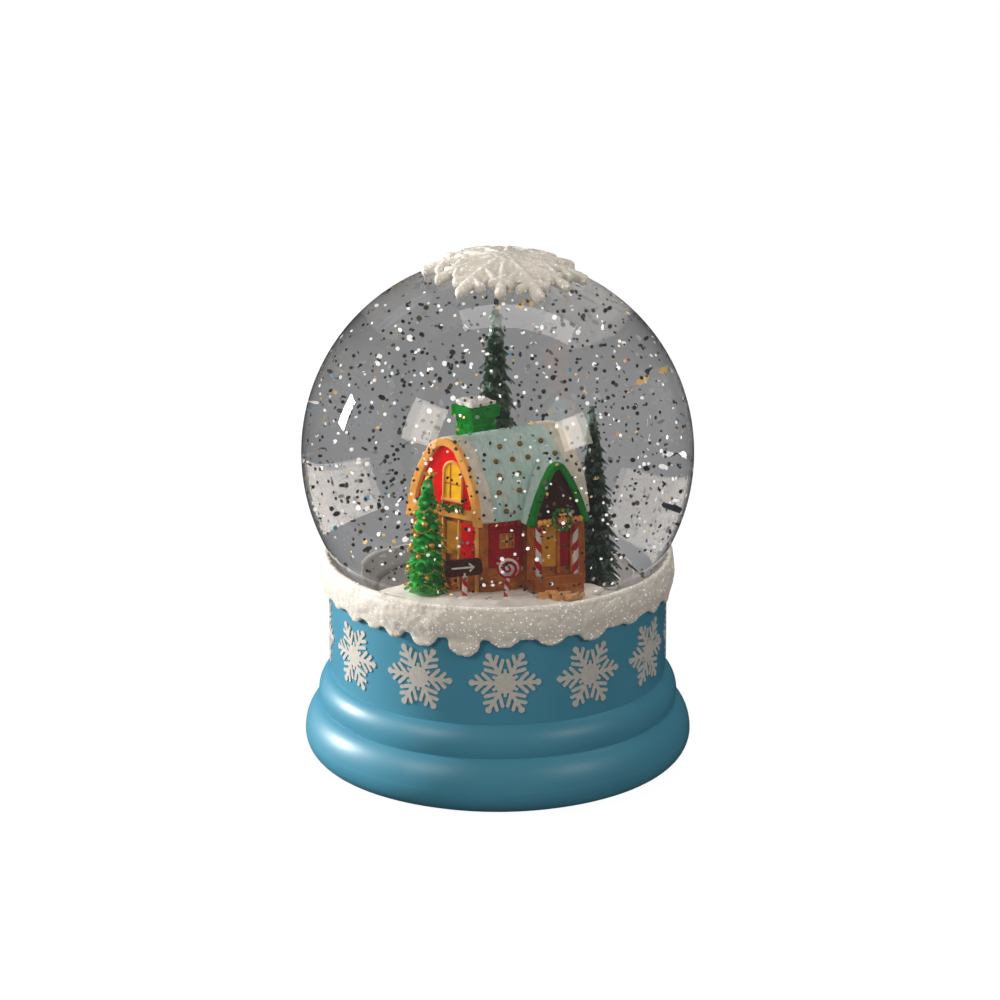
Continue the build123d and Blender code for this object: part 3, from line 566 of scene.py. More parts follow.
def rod(name, points, radius, finish, slot):
    """Round bar through the points."""
    curve = bpy.data.curves.new(name, "CURVE")
    curve.dimensions = "3D"
    curve.bevel_depth, curve.bevel_resolution = radius * MM, 4
    curve.use_fill_caps = True
    line = curve.splines.new("POLY")
    line.points.add(len(points) - 1)
    for spot, p in zip(line.points, points):
        spot.co = (*(Vector(p) * MM), 1)
    ob = link_object(name, curve)
    mesh = fresh_mesh(ob)
    bpy.data.objects.remove(ob)
    dress(link_object(name, mesh), finish, slot)


def add_ball(bm, middle, radius, squash=(1, 1, 1), detail=2):
    made = bmesh.ops.create_icosphere(bm, subdivisions=detail, radius=radius)
    for v in made["verts"]:
        v.co = v.co * Vector(squash) + middle


# ---- camera, floor and light --------------------------------------------------------
def camera():
    data = bpy.data.cameras.new("camera")
    data.sensor_width, data.lens = 36.0, 235.81
    data.clip_start, data.clip_end = 0.05, 50
    ob = link_object("camera", data)
    ob.location = (0.00088, -2.3708, 0.9153)
    downward = 18.92
    ob.rotation_euler = (radians(90 - downward), 0, 0)
    SCENE.camera = ob


# How bright the surroundings are: as fill light, in mirrors, through the ball, head on.
FLOOR_LEVELS = (0.19, 0.01, 0.27)
SKY_LEVELS = (0.19, 0.015, 0.31, 1.0)


def studio_shader(tree, shaders):
    """Dim as fill light, dark in mirrors, grey through the ball and white head on."""
    path = tree.nodes.new("ShaderNodeLightPath")
    result = shaders[0]
    ways = ("Is Glossy Ray", "Is Transmission Ray", "Is Camera Ray")
    for way, shader in zip(ways, shaders[1:]):
        result = mix_shaders(tree, path.outputs[way], result, shader)
    return result


def glow(tree, kind, level, strength=1.0):
    node = tree.nodes.new(kind)
    node.inputs["Color"].default_value = (level, level, level * 1.01, 1)
    node.inputs["Strength"].default_value = strength
    return node.outputs[0]


def floor():
    """White floor that catches a faint shadow and can't be seen from below."""
    mesh = bpy.data.meshes.new("floor")
    s = 3.0
    mesh.from_pydata([(-s, -s, 0), (s, -s, 0), (s, s, 0), (-s, s, 0)], [], [(0, 1, 2, 3)])
    ob = link_object("floor", mesh)
    material = bpy.data.materials.new("floor")
    material.use_nodes = True
    tree = material.node_tree
    tree.nodes.clear()
    output = tree.nodes.new("ShaderNodeOutputMaterial")
    pale = tree.nodes.new("ShaderNodeBsdfDiffuse")
    pale.inputs["Color"].default_value = (0.85, 0.85, 0.85, 1)
    glint_specks = glow(tree, "ShaderNodeEmission", 1.0, 1.08)
    white = mix_shaders(tree, 0.9, pale.outputs[0], glint_specks)
    shaders = [glow(tree, "ShaderNodeEmission", level) for level in FLOOR_LEVELS]
    above = studio_shader(tree, shaders + [white])
    below = tree.nodes.new("ShaderNodeBsdfTransparent").outputs[0]
    side = tree.nodes.new("ShaderNodeNewGeometry").outputs["Backfacing"]
    tree.links.new(mix_shaders(tree, side, above, below), output.inputs["Surface"])
    mesh.materials.append(material)


def sky():
    world = bpy.data.worlds.new("studio")
    world.use_nodes = True
    SCENE.world = world
    tree = world.node_tree
    tree.nodes.clear()
    output = tree.nodes.new("ShaderNodeOutputWorld")
    shaders = [glow(tree, "ShaderNodeBackground", level) for level in SKY_LEVELS]
    tree.links.new(studio_shader(tree, shaders), output.inputs["Surface"])


def lamp(name, turn, rise, width, height, power, colour, far=1.3, seen="direct"):
    """Softbox aimed at the ball: turn from the front towards the right, rise above level."""
    data = bpy.data.lights.new(name, "AREA")
    data.shape, data.size, data.size_y = "RECTANGLE", width, height
    data.energy, data.color = power, colour
    ob = link_object(name, data)
    a, b = radians(turn), radians(rise)
    away = Vector((sin(a) * cos(b), -cos(a) * cos(b), sin(b)))
    ob.location = Vector((0, 0, GLOBE_Z * MM)) + away * far
    level = UP if rise < 60 else Vector((0, 1, 0))
    across = level.cross(away).normalized()
    ob.rotation_euler = Matrix((across, away.cross(across), away)).transposed().to_euler()
    ob.visible_transmission = seen == "through"
    ob.visible_diffuse = ob.visible_glossy = seen == "direct"


def lights():
    """Four softboxes, and two panels nearer by that only show through the ball."""
    warm, cool = (1, 0.90, 0.78), (1, 0.98, 0.95)
    lamp("left_softbox", -49, 28, 0.50, 0.50, 5.0, warm)
    lamp("right_softbox", 49, 23, 0.42, 0.38, 2.9, warm)
    lamp("top_softbox", 147, 74, 1.15, 0.42, 4.8, cool)
    lamp("side_lamp", -106, 10, 0.15, 0.27, 20.0, cool)
    lamp("left_panel", -49, 28, 0.26, 0.42, 0.7, warm, 1.24, "through")
    lamp("right_panel", 49, 23, 0.22, 0.34, 0.75, warm, 1.24, "through")


# ---- ball and base ------------------------------------------------------------------
TURN_STEPS, OUTLINE_STEPS = 192, 110


def ball_outline(radius, neck, foot):
    """Half outline of the ball and its neck, as (radius, z) from the top down."""
    meet = GLOBE_Z - sqrt(radius ** 2 - neck ** 2)
    low = pi - atan2(neck, GLOBE_Z - meet)
    outline = []
    for i in range(OUTLINE_STEPS + 1):
        a = 0.002 + (low - 0.002) * i / OUTLINE_STEPS
        outline.append((radius * sin(a), GLOBE_Z + radius * cos(a)))
    outline += [(neck, meet - 1.0), (neck, foot)]
    return outline


def turned(name, outline, first_z, last_z, finish, slot, node):
    """Turned piece whose outline starts and ends beside the axis, closed by two points."""
    points, faces = lathe(outline, TURN_STEPS)
    last = len(points) - TURN_STEPS
    start, end = len(points), len(points) + 1
    points += [(0, 0, first_z), (0, 0, last_z)]
    ring = [(i, (i + 1) % TURN_STEPS) for i in range(TURN_STEPS)]
    faces += [(i, start, k) for i, k in ring]
    faces += [(last + k, end, last + i) for i, k in ring]
    clean(piece(name, points, faces, finish, slot, stands_for=(node,)))


def globe(finish):
    """Clear ball with its neck and seat flange, as one thin shell."""
    neck, flange_r, flange_t, glass = 50.0, 54.0, 3.0, 2.5
    outer = ball_outline(GLOBE_R, neck, NECK_Z + flange_t)
    inner = ball_outline(GLOBE_R - glass, neck - glass, NECK_Z)
    rim = [(flange_r, NECK_Z + flange_t), (flange_r, NECK_Z)]
    top = GLOBE_Z + GLOBE_R
    outline = outer + rim + inner[::-1]
    turned("glass_ball", outline, top, top - glass, finish, "clear_globe", "globe_shell")


def water(finish):
    """Water that reaches just into the glass, so that no air gap shows."""
    radius, neck, foot = WATER_R + 0.12, 47.4, NECK_Z + 1
    outline = ball_outline(radius, neck, foot)
    turned("water_body", outline, GLOBE_Z + radius, foot, finish, "water", "liquid_fill")


def trim(finish):
    """Snow round the seam: the frame's ring, softened, with lumps and fatter drips."""
    drip_top, drip_depth, crest_z = 72.0, 5.0, TRIM_TOP - 2.5

    def shape(p, n):
        r = hypot(p.x, p.y)
        swell = 0.45 * lump(p, 6.0, 1) + 0.22 * lump(p, 2.2, 2) + 0.1 * lump(p, 0.9, 3)
        low = max(0.0, min(1.0, (drip_top - p.z) / drip_depth))
        outward = 1.0 if r > DRUM_R + 0.6 else 0.0
        out = Vector((p.x, p.y, 0)) / r * 0.5 * low * outward
        crest = -0.5 if p.z > crest_z else 0.0
        return p + n * (swell + 0.35) * outward + out + UP * crest
    ob = soften("snow_trim", "snow_ring", finish, "glitter_snow", 0.7, 7, shape)
    # Inward faces are marked to get the painted grey shade of the finish.
    inner = []
    for v in ob.data.vertices:
        away = Vector((v.co.x, v.co.y, 0)).normalized()
        inner.append(1.0 if v.normal.dot(away) < -0.25 else 0.0)
    mark(ob, "inner", inner)


# ---- flat snowflakes as fields ------------------------------------------------------
def flake_field(x, y, arms, hub):
    """Height share, 0 to 1, of a domed snowflake at (x, y). Arms are (turn, length, half
    width, branches), and a branch is (start, length, angle, half width)."""
    best = 0.0
    r = hypot(x, y)
    if r < hub:
        best = sqrt(max(0.0, 1 - (r / hub) ** 4))
    for turn, length, half, branches in arms:
        c, s = cos(turn), sin(turn)
        u, v = x * c + y * s, -x * s + y * c
        best = max(best, bar_height(u, v, length, half))
        for start, run, angle, thick in branches:
            for side in (-1, 1):
                cb, sb = cos(angle), side * sin(angle)
                bu, bv = (u - start) * cb + v * sb, -(u - start) * sb + v * cb
                best = max(best, bar_height(bu, bv, run, thick))
    return best


def bar_height(u, v, length, half):
    """Rounded bar that swells a little towards its tip."""
    if u < -half or u > length + half * 1.4:
        return 0.0
    share = max(0.0, min(1.0, u / length))
    wide = half * (0.8 + 0.35 * share)
    along = max(-u, u - length, 0.0)
    d = hypot(along, v) / wide
    return sqrt(max(0.0, 1 - d * d)) if d < 1 else 0.0


def topper_arms():
    arms = []
    big = [(14.0, 8.0, radians(58), 1.9), (22.0, 6.0, radians(62), 2.0)]
    small = [(20.0, 4.5, radians(55), 1.6)]
    for i in range(6):
        arms.append((radians(60 * i - 4), 30.3, 2.4, big))
        arms.append((radians(60 * i + 26), 28.0, 2.1, small))
    return arms


def topper_grid(step, reach):
    """Height shares of the topper's relief on a square grid, where there is any."""
    arms = topper_arms()
    hub, disc_r = 11.0, 21.0
    count = int(reach / step)
    grid = {}
    for i in range(-count, count + 1):
        for j in range(-count, count + 1):
            x, y = i * step, j * step
            field = flake_field(x, y, arms, hub)
            disc = hypot(x, y) / disc_r
            if disc < 1:
                field = max(field, 0.4 * sqrt(1 - disc**4))
            if field > 0.12:
                grid[i, j] = (x, y, field)
    return grid


def topper(finish):
    """Domed snowflake cast on a sphere cap: relief over a grid, closed underneath."""
    seat = GLOBE_R + 0.05
    thick = corners("snowflake_topper")[1].z - GLOBE_Z - seat
    tilt = Matrix.Rotation(radians(2.2), 4, "Y")
    grid = topper_grid(step=0.34, reach=33.2)

    def spot(x, y, lift):
        r = hypot(x, y)
        a = r / (GLOBE_R + 2)
        out = Vector((x / r * sin(a), y / r * sin(a), cos(a))) if r > 1e-6 else UP
        return (tilt @ out) * (seat + lift) + Vector((0, 0, GLOBE_Z))

    ids, points = {}, []
    for cell, (x, y, field) in grid.items():
        rough = 0.3 * noise.noise(Vector((x, y, 0)) / 1.8)
        rough += 0.16 * noise.noise(Vector((x, y, 4)) / 0.7)
        lift = thick * (0.22 + 0.66 * field) + rough * field
        ids[cell] = len(points)
        points.append(spot(x, y, min(lift, thick - 0.05)))
        points.append(spot(x, y, 0.0))
    faces, edges = [], {}
    for i, j in grid:
        square = [(i, j), (i + 1, j), (i + 1, j + 1), (i, j + 1)]
        if all(c in grid for c in square):
            top = [ids[c] for c in square]
            faces.append(top)
            faces.append([k + 1 for k in reversed(top)])
            for a, b in zip(top, top[1:] + top[:1]):
                edges[a, b] = True
    for a, b in edges:
        if (b, a) not in edges:
            faces.append([b, a, a + 1, b + 1])
    nodes = ("snowflake_topper",)
    ob = piece("topper_flake", points, faces, finish, "glitter_snow", stands_for=nodes)
    clean(ob)
    smooth_out(ob, 3)


# ---- foliage ------------------------------------------------------------------------
def add_leaf(points, faces, tips, root, out, droop, length, width, fold, curl=0.35):
    """Folded, drooping leaf: a closed wedge that thins to a point."""
    side = out.cross(UP).normalized()
    rows = 4
    first = len(points)
    for i in range(rows + 1):
        share = i / rows
        at = root + out * length * share - UP * (droop * length * share ** (1 + curl))
        half = width * (0.45 + 0.75 * share) * (1 - share ** 2.2) + 0.02
        ridge = fold * (1 - 0.6 * share)
        points += [at - side * half, at + UP * ridge, at + side * half, at - UP * ridge * 0.6]
        tips += [share ** 1.5] * 4
    faces += ring_faces(first, 4, rows + 1)
    faces.append((first + 3, first + 2, first + 1, first))
    end = first + 4 * rows
    faces.append((end, end + 1, end + 2, end + 3))


def foliage(name, points, faces, tips, finish, slot, stands_for):
    """Leaves whose tips are marked, for the frost and painted highlight of their finish."""
    ob = piece(name, points, faces, finish, slot, stands_for=stands_for)
    mark(ob, "tip", tips)
    clean(ob)


def bough_reach(share, radius, power):
    """Reach of a tree's boughs at this share of its height."""
    return radius * (1 - share) ** power


def conifer(name, node, slot, look, layers, leaves, bottom, power, droop, seed, spread=1.12):
    """Tree of drooping boughs, each a bunch of three folded leaves."""
    draw = random.Random(seed)
    low, high = corners(node)
    middle, radius = middle_of(node), half_width(node)
    height = high.z - bottom
    step = height / layers
    points, faces, tips = [], [], []
    for layer in range(layers):
        share = (layer + 0.15) / layers
        reach = bough_reach(share, radius, power)
        count = max(5, int(leaves * (0.4 + 0.6 * (1 - share))))
        offset = draw.uniform(0, tau)
        for k in range(count):
            a = offset + tau * (k + draw.uniform(-0.3, 0.3)) / count
            fall = droop * draw.uniform(0.85, 1.15)
            long = reach * spread * draw.uniform(0.9, 1.1)
            root_z = bottom + step * (layer + draw.uniform(0.1, 0.6)) + long * fall
            root = Vector((middle.x, middle.y, min(root_z, high.z - 0.6)))
            wide = min(2.6, 0.44 * reach + 0.3) * draw.uniform(0.85, 1.15)
            fold = 0.28 * wide + 0.1
            for turn, size in ((-0.3, 0.82), (0.0, 1.0), (0.3, 0.82)):
                out = Vector((cos(a + turn), sin(a + turn), 0))
                leaf = (root, out, fall, long * size, wide * size, fold, 0.5)
                add_leaf(points, faces, tips, *leaf)
    ring = [(0.9, low.z), (0.8, bottom)]
    for layer in range(layers):
        reach = bough_reach((layer + 0.15) / layers, radius, power)
        z = bottom + step * layer
        ring += [(reach * 0.84, z + 0.1), (reach * 0.5, z + step)]
    ring += [(0.6, high.z - 6.0), (0.32, high.z - 2.5), (0.06, high.z)]
    sides = 14
    core, core_faces = lathe(ring, sides)
    base = len(points)
    points += [Vector(p) + Vector((middle.x, middle.y, 0)) for p in core]
    faces += [tuple(base + i for i in f) for f in core_faces]
    faces.append(tuple(base + i for i in reversed(range(sides))))
    faces.append(tuple(len(points) - sides + i for i in range(sides)))
    # The core's top and the leaf tips get frost and painted highlight, strongest over the crown.
    tips += [1.0 if p[2] > high.z - 7 else 0.0 for p in core]
    crown = high.z - 0.14 * height
    lit = [min(1.0, tip + 0.6) if p[2] > crown else 0.3 * tip for tip, p in zip(tips, points)]
    foliage(name, points, faces, lit, look[slot], slot, stands_for=(node,))


# ---- scene inside the ball ----------------------------------------------------------
def ground(finish):
    """Snowy ground that rises towards its edge."""
    edge_r, bank_start, bank_width = 44, 20, 16

    def shape(p, n):
        r = hypot(p.x, p.y)
        if n.z < 0.2 or r > edge_r:
            return p
        rise = 1.0 + 1.4 * max(0.0, min(1.0, (r - bank_start) / bank_width))
        return p + UP * (rise + 0.4 * lump(p, 6.0, 5) + 0.15 * lump(p, 2.0, 6))
    soften("snow_ground", "snow_mound", finish, "resin_snow", 0.8, 5, shape)


def stones(finish):
    """Path stones, lifted out of the snow towards the front."""
    lift = Vector((0.0, -1.2, 2.6))

    def shape(p, n):
        return p + lift + n * (0.3 * lump(p, 1.6, 8) + 0.12 * lump(p, 0.7, 9))
    soften("path_stones", "stone_path", finish, "stone", 0.22, 5, shape)


BOXES = [corners(node) for node in (
    "cottage_walls", "cottage_roof", "porch_walls", "porch_roof", "chimney", "back_pine",
    "right_pine", "christmas_tree", "sign_board", "lollipop_disc",
)]
FLAKE_COUNT = 2100
FLAKE_TONES = [    # share of all flakes, colour, how metallic
    # Near-black flakes are painted shade, for foil turned away from the light; white ones are painted
    # glints, for foil turned towards it.
    (0.46, (0.006, 0.006, 0.008), 0.0),
    (0.14, (0.10, 0.085, 0.06), 0.2),
    (0.12, (0.40, 0.39, 0.37), 0.3),
    (0.20, (1.0, 1.0, 1.0), 0.0),
    (0.06, (0.72, 0.46, 0.14), 0.3),
    (0.02, (0.15, 0.5, 0.75), 0.3),
]


def in_scene(p):
    return any(
        low.x - 1 < p.x < high.x + 1 and low.y - 1 < p.y < high.y + 1 and low.z < p.z < high.z + 1
        for low, high in BOXES
    )


def pick_tone(pick):
    for share, tone, shine in FLAKE_TONES:
        pick -= share
        if pick <= 0:
            break
    return tone, shine


def flakes(finish):
    """Loose glitter drifting in the water: thin six-sided foil."""
    draw = random.Random(7)
    points, faces, colours, shines = [], [], [], []
    made = 0
    while made < FLAKE_COUNT:
        p = Vector([draw.uniform(-1, 1) for _ in range(3)])
        if p.length > 1:
            continue
        p = p * (WATER_R - 2.0) + Vector((0, 0, GLOBE_Z))
        if p.z < TRIM_TOP + 0.5 or in_scene(p):
            continue
        made += 1
        tone, shine = pick_tone(draw.random())
        size = draw.choice((0.5, 0.58, 0.68)) * draw.uniform(0.9, 1.1)
        tip = radians(90 + draw.gauss(-12, 34))
        turn = Matrix.Rotation(radians(draw.gauss(0, 34)), 3, "Z")
        turn = turn @ Matrix.Rotation(tip, 3, "X")
        turn = turn @ Matrix.Rotation(draw.uniform(0, tau), 3, "Z")
        first = len(points)
        for z in (-0.03, 0.03):
            for k in range(6):
                a = tau * k / 6
                points.append(p + turn @ Vector((size * cos(a), size * sin(a), z)))
        faces.append(tuple(first + 5 - k for k in range(6)))
        faces.append(tuple(first + 6 + k for k in range(6)))
        faces += ring_faces(first, 6, 2)
        colours += [(*tone, 1.0)] * 12
        shines += [shine] * 12
    ob = piece("glitter_flakes", points, faces, finish, "glitter_snow", smooth=False)
    mark(ob, "tone", colours, "FLOAT_COLOR")
    mark(ob, "shine", shines)


# ---- cottage ------------------------------------------------------------------------
def near_surface(node):
    points = [tuple(p) for p in points_of(node)]
    faces = [tuple(f.vertices) for f in frame["nodes"][node].data.polygons]
    return BVHTree.FromPolygons(points, faces)


def hand_made(look, node, name, slot, voxel, lumps, pattern=None, rounds=3):
    """Cottage piece with soft edges and the small unevenness of a painted casting."""
    def shape(p, n):
        out = lumps * lump(p, 2.6, 11) + 0.4 * lumps * lump(p, 0.9, 12)
        if pattern:
            out += pattern(p, n)
        return p + n * out
    soften(node, name, look[slot], slot, voxel, rounds, shape)


def course(z, height, depth):
    """Groove between courses of stone or brick."""
    share = abs((z / height) % 1 - 0.5) * 2
    return -depth if share > 0.84 else 0.0


CHIMNEY_TOP = corners("chimney")[1].z


def brickwork(p, n):
    """Bricks on the chimney, below its plain head."""
    if p.z > CHIMNEY_TOP - 4.2:
        return 0.0
    u, t = gable_u(p)
    along = u if abs(n.dot(GABLE_OUT)) > 0.6 else t
    brick, height, depth = 3.2, 2.0, 0.22
    row = int(p.z / height)
    joint = abs(((along / brick + 0.5 * (row % 2)) % 1) - 0.5) * 2 > 0.88
    return -depth if joint else course(p.z, height, depth)


def wall_pattern(p, n):
    """Stone courses along the foot of the walls."""
    footing, height, depth = 8.5, 2.6, 0.16
    if abs(n.z) > 0.5 or p.z > WALL_CORNER.z + footing:
        return 0.0
    return course(p.z - WALL_CORNER.z, height, depth)


def roof(finish):
    """Roof with a paler band at each end and faint strokes down the slope."""
    front_band, back_band = 3.6, RIDGE_RUN.length - 4.2

    def shape(p, n):
        u, t = gable_u(p)
        stroke = noise.noise(Vector((t / 0.9, p.z / 7.0, u / 7.0)))
        band = t < front_band + 0.4 * lump(p, 3.0, 3) or t > back_band
        edge = 0.28 if band else 0.0
        inside = n.dot(UP) < -0.2
        return p + n * (0.0 if inside else edge + 0.07 * stroke + 0.12 * lump(p, 3.0, 4))
    ob = soften("cottage_roof", "roof_cover", finish, "roof_teal", 0.3, 4, shape)
    pale = []
    for v in ob.data.vertices:
        p = v.co / MM
        t = gable_u(p)[1]
        front = t < front_band + 0.1 + 0.4 * lump(p, 3.0, 3)
        back = t > back_band + 0.5 * lump(p, 4.0, 6)
        pale.append(1.0 if front or back else 0.0)
    mark(ob, "pale", pale)


def roof_beads(finish):
    """Gold domes in staggered rows down the near slope."""
    tree = near_surface("cottage_roof")
    high = corners("cottage_roof")[1].z
    rows = [    # drop below the ridge, places along the roof
        (3.2, (8.7, 15.3, 22.0)),
        (7.0, (6.6, 12.0, 17.0, 22.5, 25.6)),
        (11.0, (7.0, 13.3, 19.0)),
        (15.8, (6.2, 12.9)),
        (21.5, (8.1,)),
    ]
    bm = bmesh.new()
    for drop, places in rows:
        for t in places:
            spot, normal, *_ = tree.ray_cast(on_side(t, high - drop, 60), -SIDE_OUT)
            if spot is not None:
                add_ball(bm, spot + normal * 0.15, 0.85)
    from_bmesh("roof_beads", bm, finish, "gold_paint")


def arch_line(u_mid, half, foot, spring, out):
    """Line up one side of an arched opening, over and down the other side."""
    steps = 14
    line = [on_gable(u_mid + half, foot, out)]
    for i in range(steps + 1):
        a = pi * i / steps
        line.append(on_gable(u_mid + half * cos(a), spring + half * sin(a), out))
    line.append(on_gable(u_mid - half, foot, out))
    return line


def trim_rods(look, slot, *rows):
    """Bars of the cottage, as rows of (name, points, radius)."""
    for name, points, radius in rows:
        rod(name, points, radius, look[slot], slot)


def attic_window(look):
    node = "attic_window"
    us = [gable_u(Vector(p))[0] for p in points_of(node)]
    u_mid, half = (min(us) + max(us)) / 2, (max(us) - min(us)) / 2
    low, high = corners(node)
    spring = high.z - half
    line = arch_line(u_mid, half, low.z, spring, 0.75)
    upright = [on_gable(u_mid + 0.9, z, 0.7) for z in (low.z, high.z - 0.4)]
    mid = (low.z + spring) / 2 + 0.6
    across = [on_gable(u_mid + u, mid, 0.7) for u in (half, -half)]
    sill = [on_gable(u_mid + u, low.z - 0.2, 0.9) for u in (half + 0.6, -half - 0.6)]
    trim_rods(look, "trim_orange", ("window_frame", line + [line[0]], 0.55))
    for name, points, radius in (("up", upright, 0.36), ("across", across, 0.32)):
        rod("window_bar_" + name, points, radius, look["wall_light"], "door_gold")
    trim_rods(look, "trim_orange", ("window_sill", sill, 0.6))


def door_frames(look):
    """Mouldings beside the doors of both fronts."""
    foot = WALL_CORNER.z + 1
    for name, u, radius in (("right", 1.4, 0.62), ("mid", 8.0, 0.4), ("left", 13.4, 0.62)):
        line = [on_gable(u, z, 0.25) for z in (foot, 105.2)]
        trim_rods(look, "trim_orange", ("post_" + name, line, radius))
    for name, v in (("left", 16.0), ("mid", 22.3), ("right", 26.6)):
        line = [on_side(v, z, PORCH_FRONT) for z in (89.0, 104.6)]
        rod("porch_post_" + name, line, 0.5, look["wall_light"], "wall_tan")


def side_depth(node):
    """How far a node stands out from the long wall."""
    return max((Vector(p) - WALL_CORNER).dot(SIDE_OUT) for p in points_of(node))


PORCH_FRONT = side_depth("porch_door") + 0.4


def leafy(name, line, thick, count, look, seed, stands_for=()):
    """Bunch of small leaves along a line."""
    draw = random.Random(seed)
    points, faces, tips = [], [], []
    for k in range(count):
        place = (k + draw.random()) / count * (len(line) - 1)
        i = min(int(place), len(line) - 2)
        at = line[i].lerp(line[i + 1], place - i)
        a, b = draw.uniform(0, tau), draw.uniform(-0.5, 0.9)
        out = Vector((cos(a) * cos(b), sin(a) * cos(b), sin(b)))
        leaf = (at, out, 0.1, thick * draw.uniform(0.7, 1.1), thick * 0.3, thick * 0.12)
        add_leaf(points, faces, tips, *leaf)
    foliage(name, points, faces, tips, look["garland"], "wreath_green", stands_for)


def baubles(name, places, radius, look):
    draw = random.Random(2)
    bm = bmesh.new()
    for p in places:
        add_ball(bm, p, radius * draw.uniform(0.9, 1.1))
    from_bmesh(name, bm, look["gold_paint"], "gold_paint")


def greenery(look):
    """Garland on the gable's beam and wreath over the porch door."""
    draw = random.Random(11)
    line = [on_gable(u, 108.9 + 0.5 * sin(u), 1.9) for u in (13.5, 11.5, 9.5, 7.5, 5.8)]
    leafy("beam_garland", line, 2.0, 90, look, 5)
    spots = [p + GABLE_OUT * 1.0 + UP * draw.uniform(-0.8, 0.8) for p in line]
    baubles("beam_baubles", spots, 0.5, look)
    middle = middle_of("door_wreath")
    ring = []
    for k in range(17):
        a = tau * k / 16
        ring.append(middle + RIDGE_DIR * 3.0 * cos(a) + UP * (3.1 * sin(a) - 0.3))
    leafy("wreath_leaves", ring, 1.45, 150, look, 6, ("door_wreath",))
    spots = [ring[k] + SIDE_OUT * 0.8 for k in (1, 4, 7, 9, 11, 14)]
    baubles("wreath_baubles", spots, 0.38, look)
    bm = bmesh.new()
    bow = middle + SIDE_OUT * 1.0 + UP * 1.6
    for side in (-1, 1):
        add_ball(bm, bow + RIDGE_DIR * side * 0.7, 0.5, (1.25, 0.8, 0.75))
        add_ball(bm, bow + RIDGE_DIR * side * 0.4 - UP * 0.9, 0.32, (0.8, 0.7, 1.5))
    add_ball(bm, bow, 0.35)
    from_bmesh("wreath_bow", bm, look["trim_orange"], "trim_orange")


def porch_trim(look):
    """Teal porch roof with a green board round its front, and a scalloped beam."""
    out = PORCH_FRONT - 0.4

    def shape(p, n):
        return p + n * (0.1 * lump(p, 2.4, 13))
    slot = "board_paint_green"
    finishes = [look[slot], look["roof_plain"]]
    ob = soften("porch_roof", "porch_cover", finishes, slot, 0.28, 3, shape)
    for face in ob.data.polygons:
        depth = (face.center / MM - WALL_CORNER).dot(SIDE_OUT)
        face.material_index = 1 if depth < out - 0.9 and face.normal.z > 0.05 else 0
    bm = bmesh.new()
    left, right, count = 16.2, 29.0, 9
    for k in range(count):
        v = left + (right - left) * k / (count - 1)
        add_ball(bm, on_side(v, 105.2, out + 1.2), 1.05, (1, 1, 0.95))
    from_bmesh("porch_scallops", bm, look["trim_orange"], "trim_orange")


def shutter_trim(look):
    """Scalloped head over the dark red shutters and bars across the little window."""
    top = corners("red_shutters")[1].z
    bm = bmesh.new()
    for v in (3.6, 5.8, 8.0, 10.2, 12.4):
        add_ball(bm, on_side(v, top - 0.2, 0.2), 1.3, (1, 1, 0.8))
    from_bmesh("shutter_head", bm, look["shutter_red"], "shutter_red")
    points = points_of("side_window")
    out = side_depth("side_window") + 0.15
    vs = [gable_u(Vector(p))[1] for p in points]
    z0, z1 = points[:, 2].min(), points[:, 2].max()
    v0, v1 = min(vs), max(vs)
    middle, level = (v0 + v1) / 2, (z0 + z1) / 2
    ring = [on_side(v, z, out) for v, z in ((v0, z0), (v1, z0), (v1, z1), (v0, z1), (v0, z0))]
    upright = [on_side(middle, z, out) for z in (z0, z1)]
    rail = [on_side(v, level, out) for v in (v0, v1)]
    trim_rods(look, "window_tan", ("little_window_frame", ring, 0.32))
    bars = (("little_window_bar", upright, 0.2), ("little_window_rail", rail, 0.2))
    trim_rods(look, "trim_orange", *bars)


def striped_post(name, foot, head, radius, turns, look, twist, node):
    """Round post with one red stripe wound round it."""
    axis = (head - foot).normalized()
    side = axis.orthogonal().normalized()
    other = axis.cross(side)
    sides, rows, red_sides = 24, 40, 11
    points = []
    for j in range(rows + 1):
        share = j / rows
        end = min(share, 1 - share) * (head - foot).length
        r = radius * (1 if end > 0.3 else 0.75 + 0.25 * end / 0.3)
        for i in range(sides):
            a = tau * (i / sides + twist * turns * share)
            points.append(foot.lerp(head, share) + (side * cos(a) + other * sin(a)) * r)
    faces = ring_faces(0, sides, rows + 1)
    faces += [tuple(reversed(range(sides))), tuple(rows * sides + i for i in range(sides))]
    red = [k % sides < red_sides for k in range(rows * sides)] + [False, False]
    striped(look, red, name, points, faces, node)


def striped(look, red, name, points, faces, node):
    """White sweet piece whose faces listed as red get the red paint."""
    finishes = [look["candy_stripe"], look["candy_red"]]
    ob = piece(name, points, faces, finishes, "candy_stripe", stands_for=(node,))
    for face, is_red in zip(ob.data.polygons, red):
        face.material_index = 1 if is_red else 0
    return ob


def candy(look):
    """Porch posts, sign post, lollipop and its stick."""
    low, high = corners("candy_columns")
    out = PORCH_FRONT + 0.9
    for name, v, twist in (("porch_cane_left", 15.6, -1), ("porch_cane_right", 27.4, 1)):
        foot, head = on_side(v, low.z, out), on_side(v, high.z, out)
        striped_post(name, foot, head, 0.95, 2.6, look, twist, "candy_columns")
    low, high = corners("sign_post")
    x, y, _ = middle_of("sign_post")
    foot, head = Vector((x, y, low.z)), Vector((x, y, high.z))
    striped_post("sign_cane", foot, head, 0.85, 2.4, look, -1, "sign_post")
    low, high = corners("lollipop_stick")
    y = middle_of("lollipop_stick").y
    foot, head = Vector((low.x + 0.8, y, low.z)), Vector((high.x - 0.8, y, high.z))
    striped_post("lollipop_cane", foot, head, 0.75, 2.0, look, -1, "lollipop_stick")
    lollipop(look)


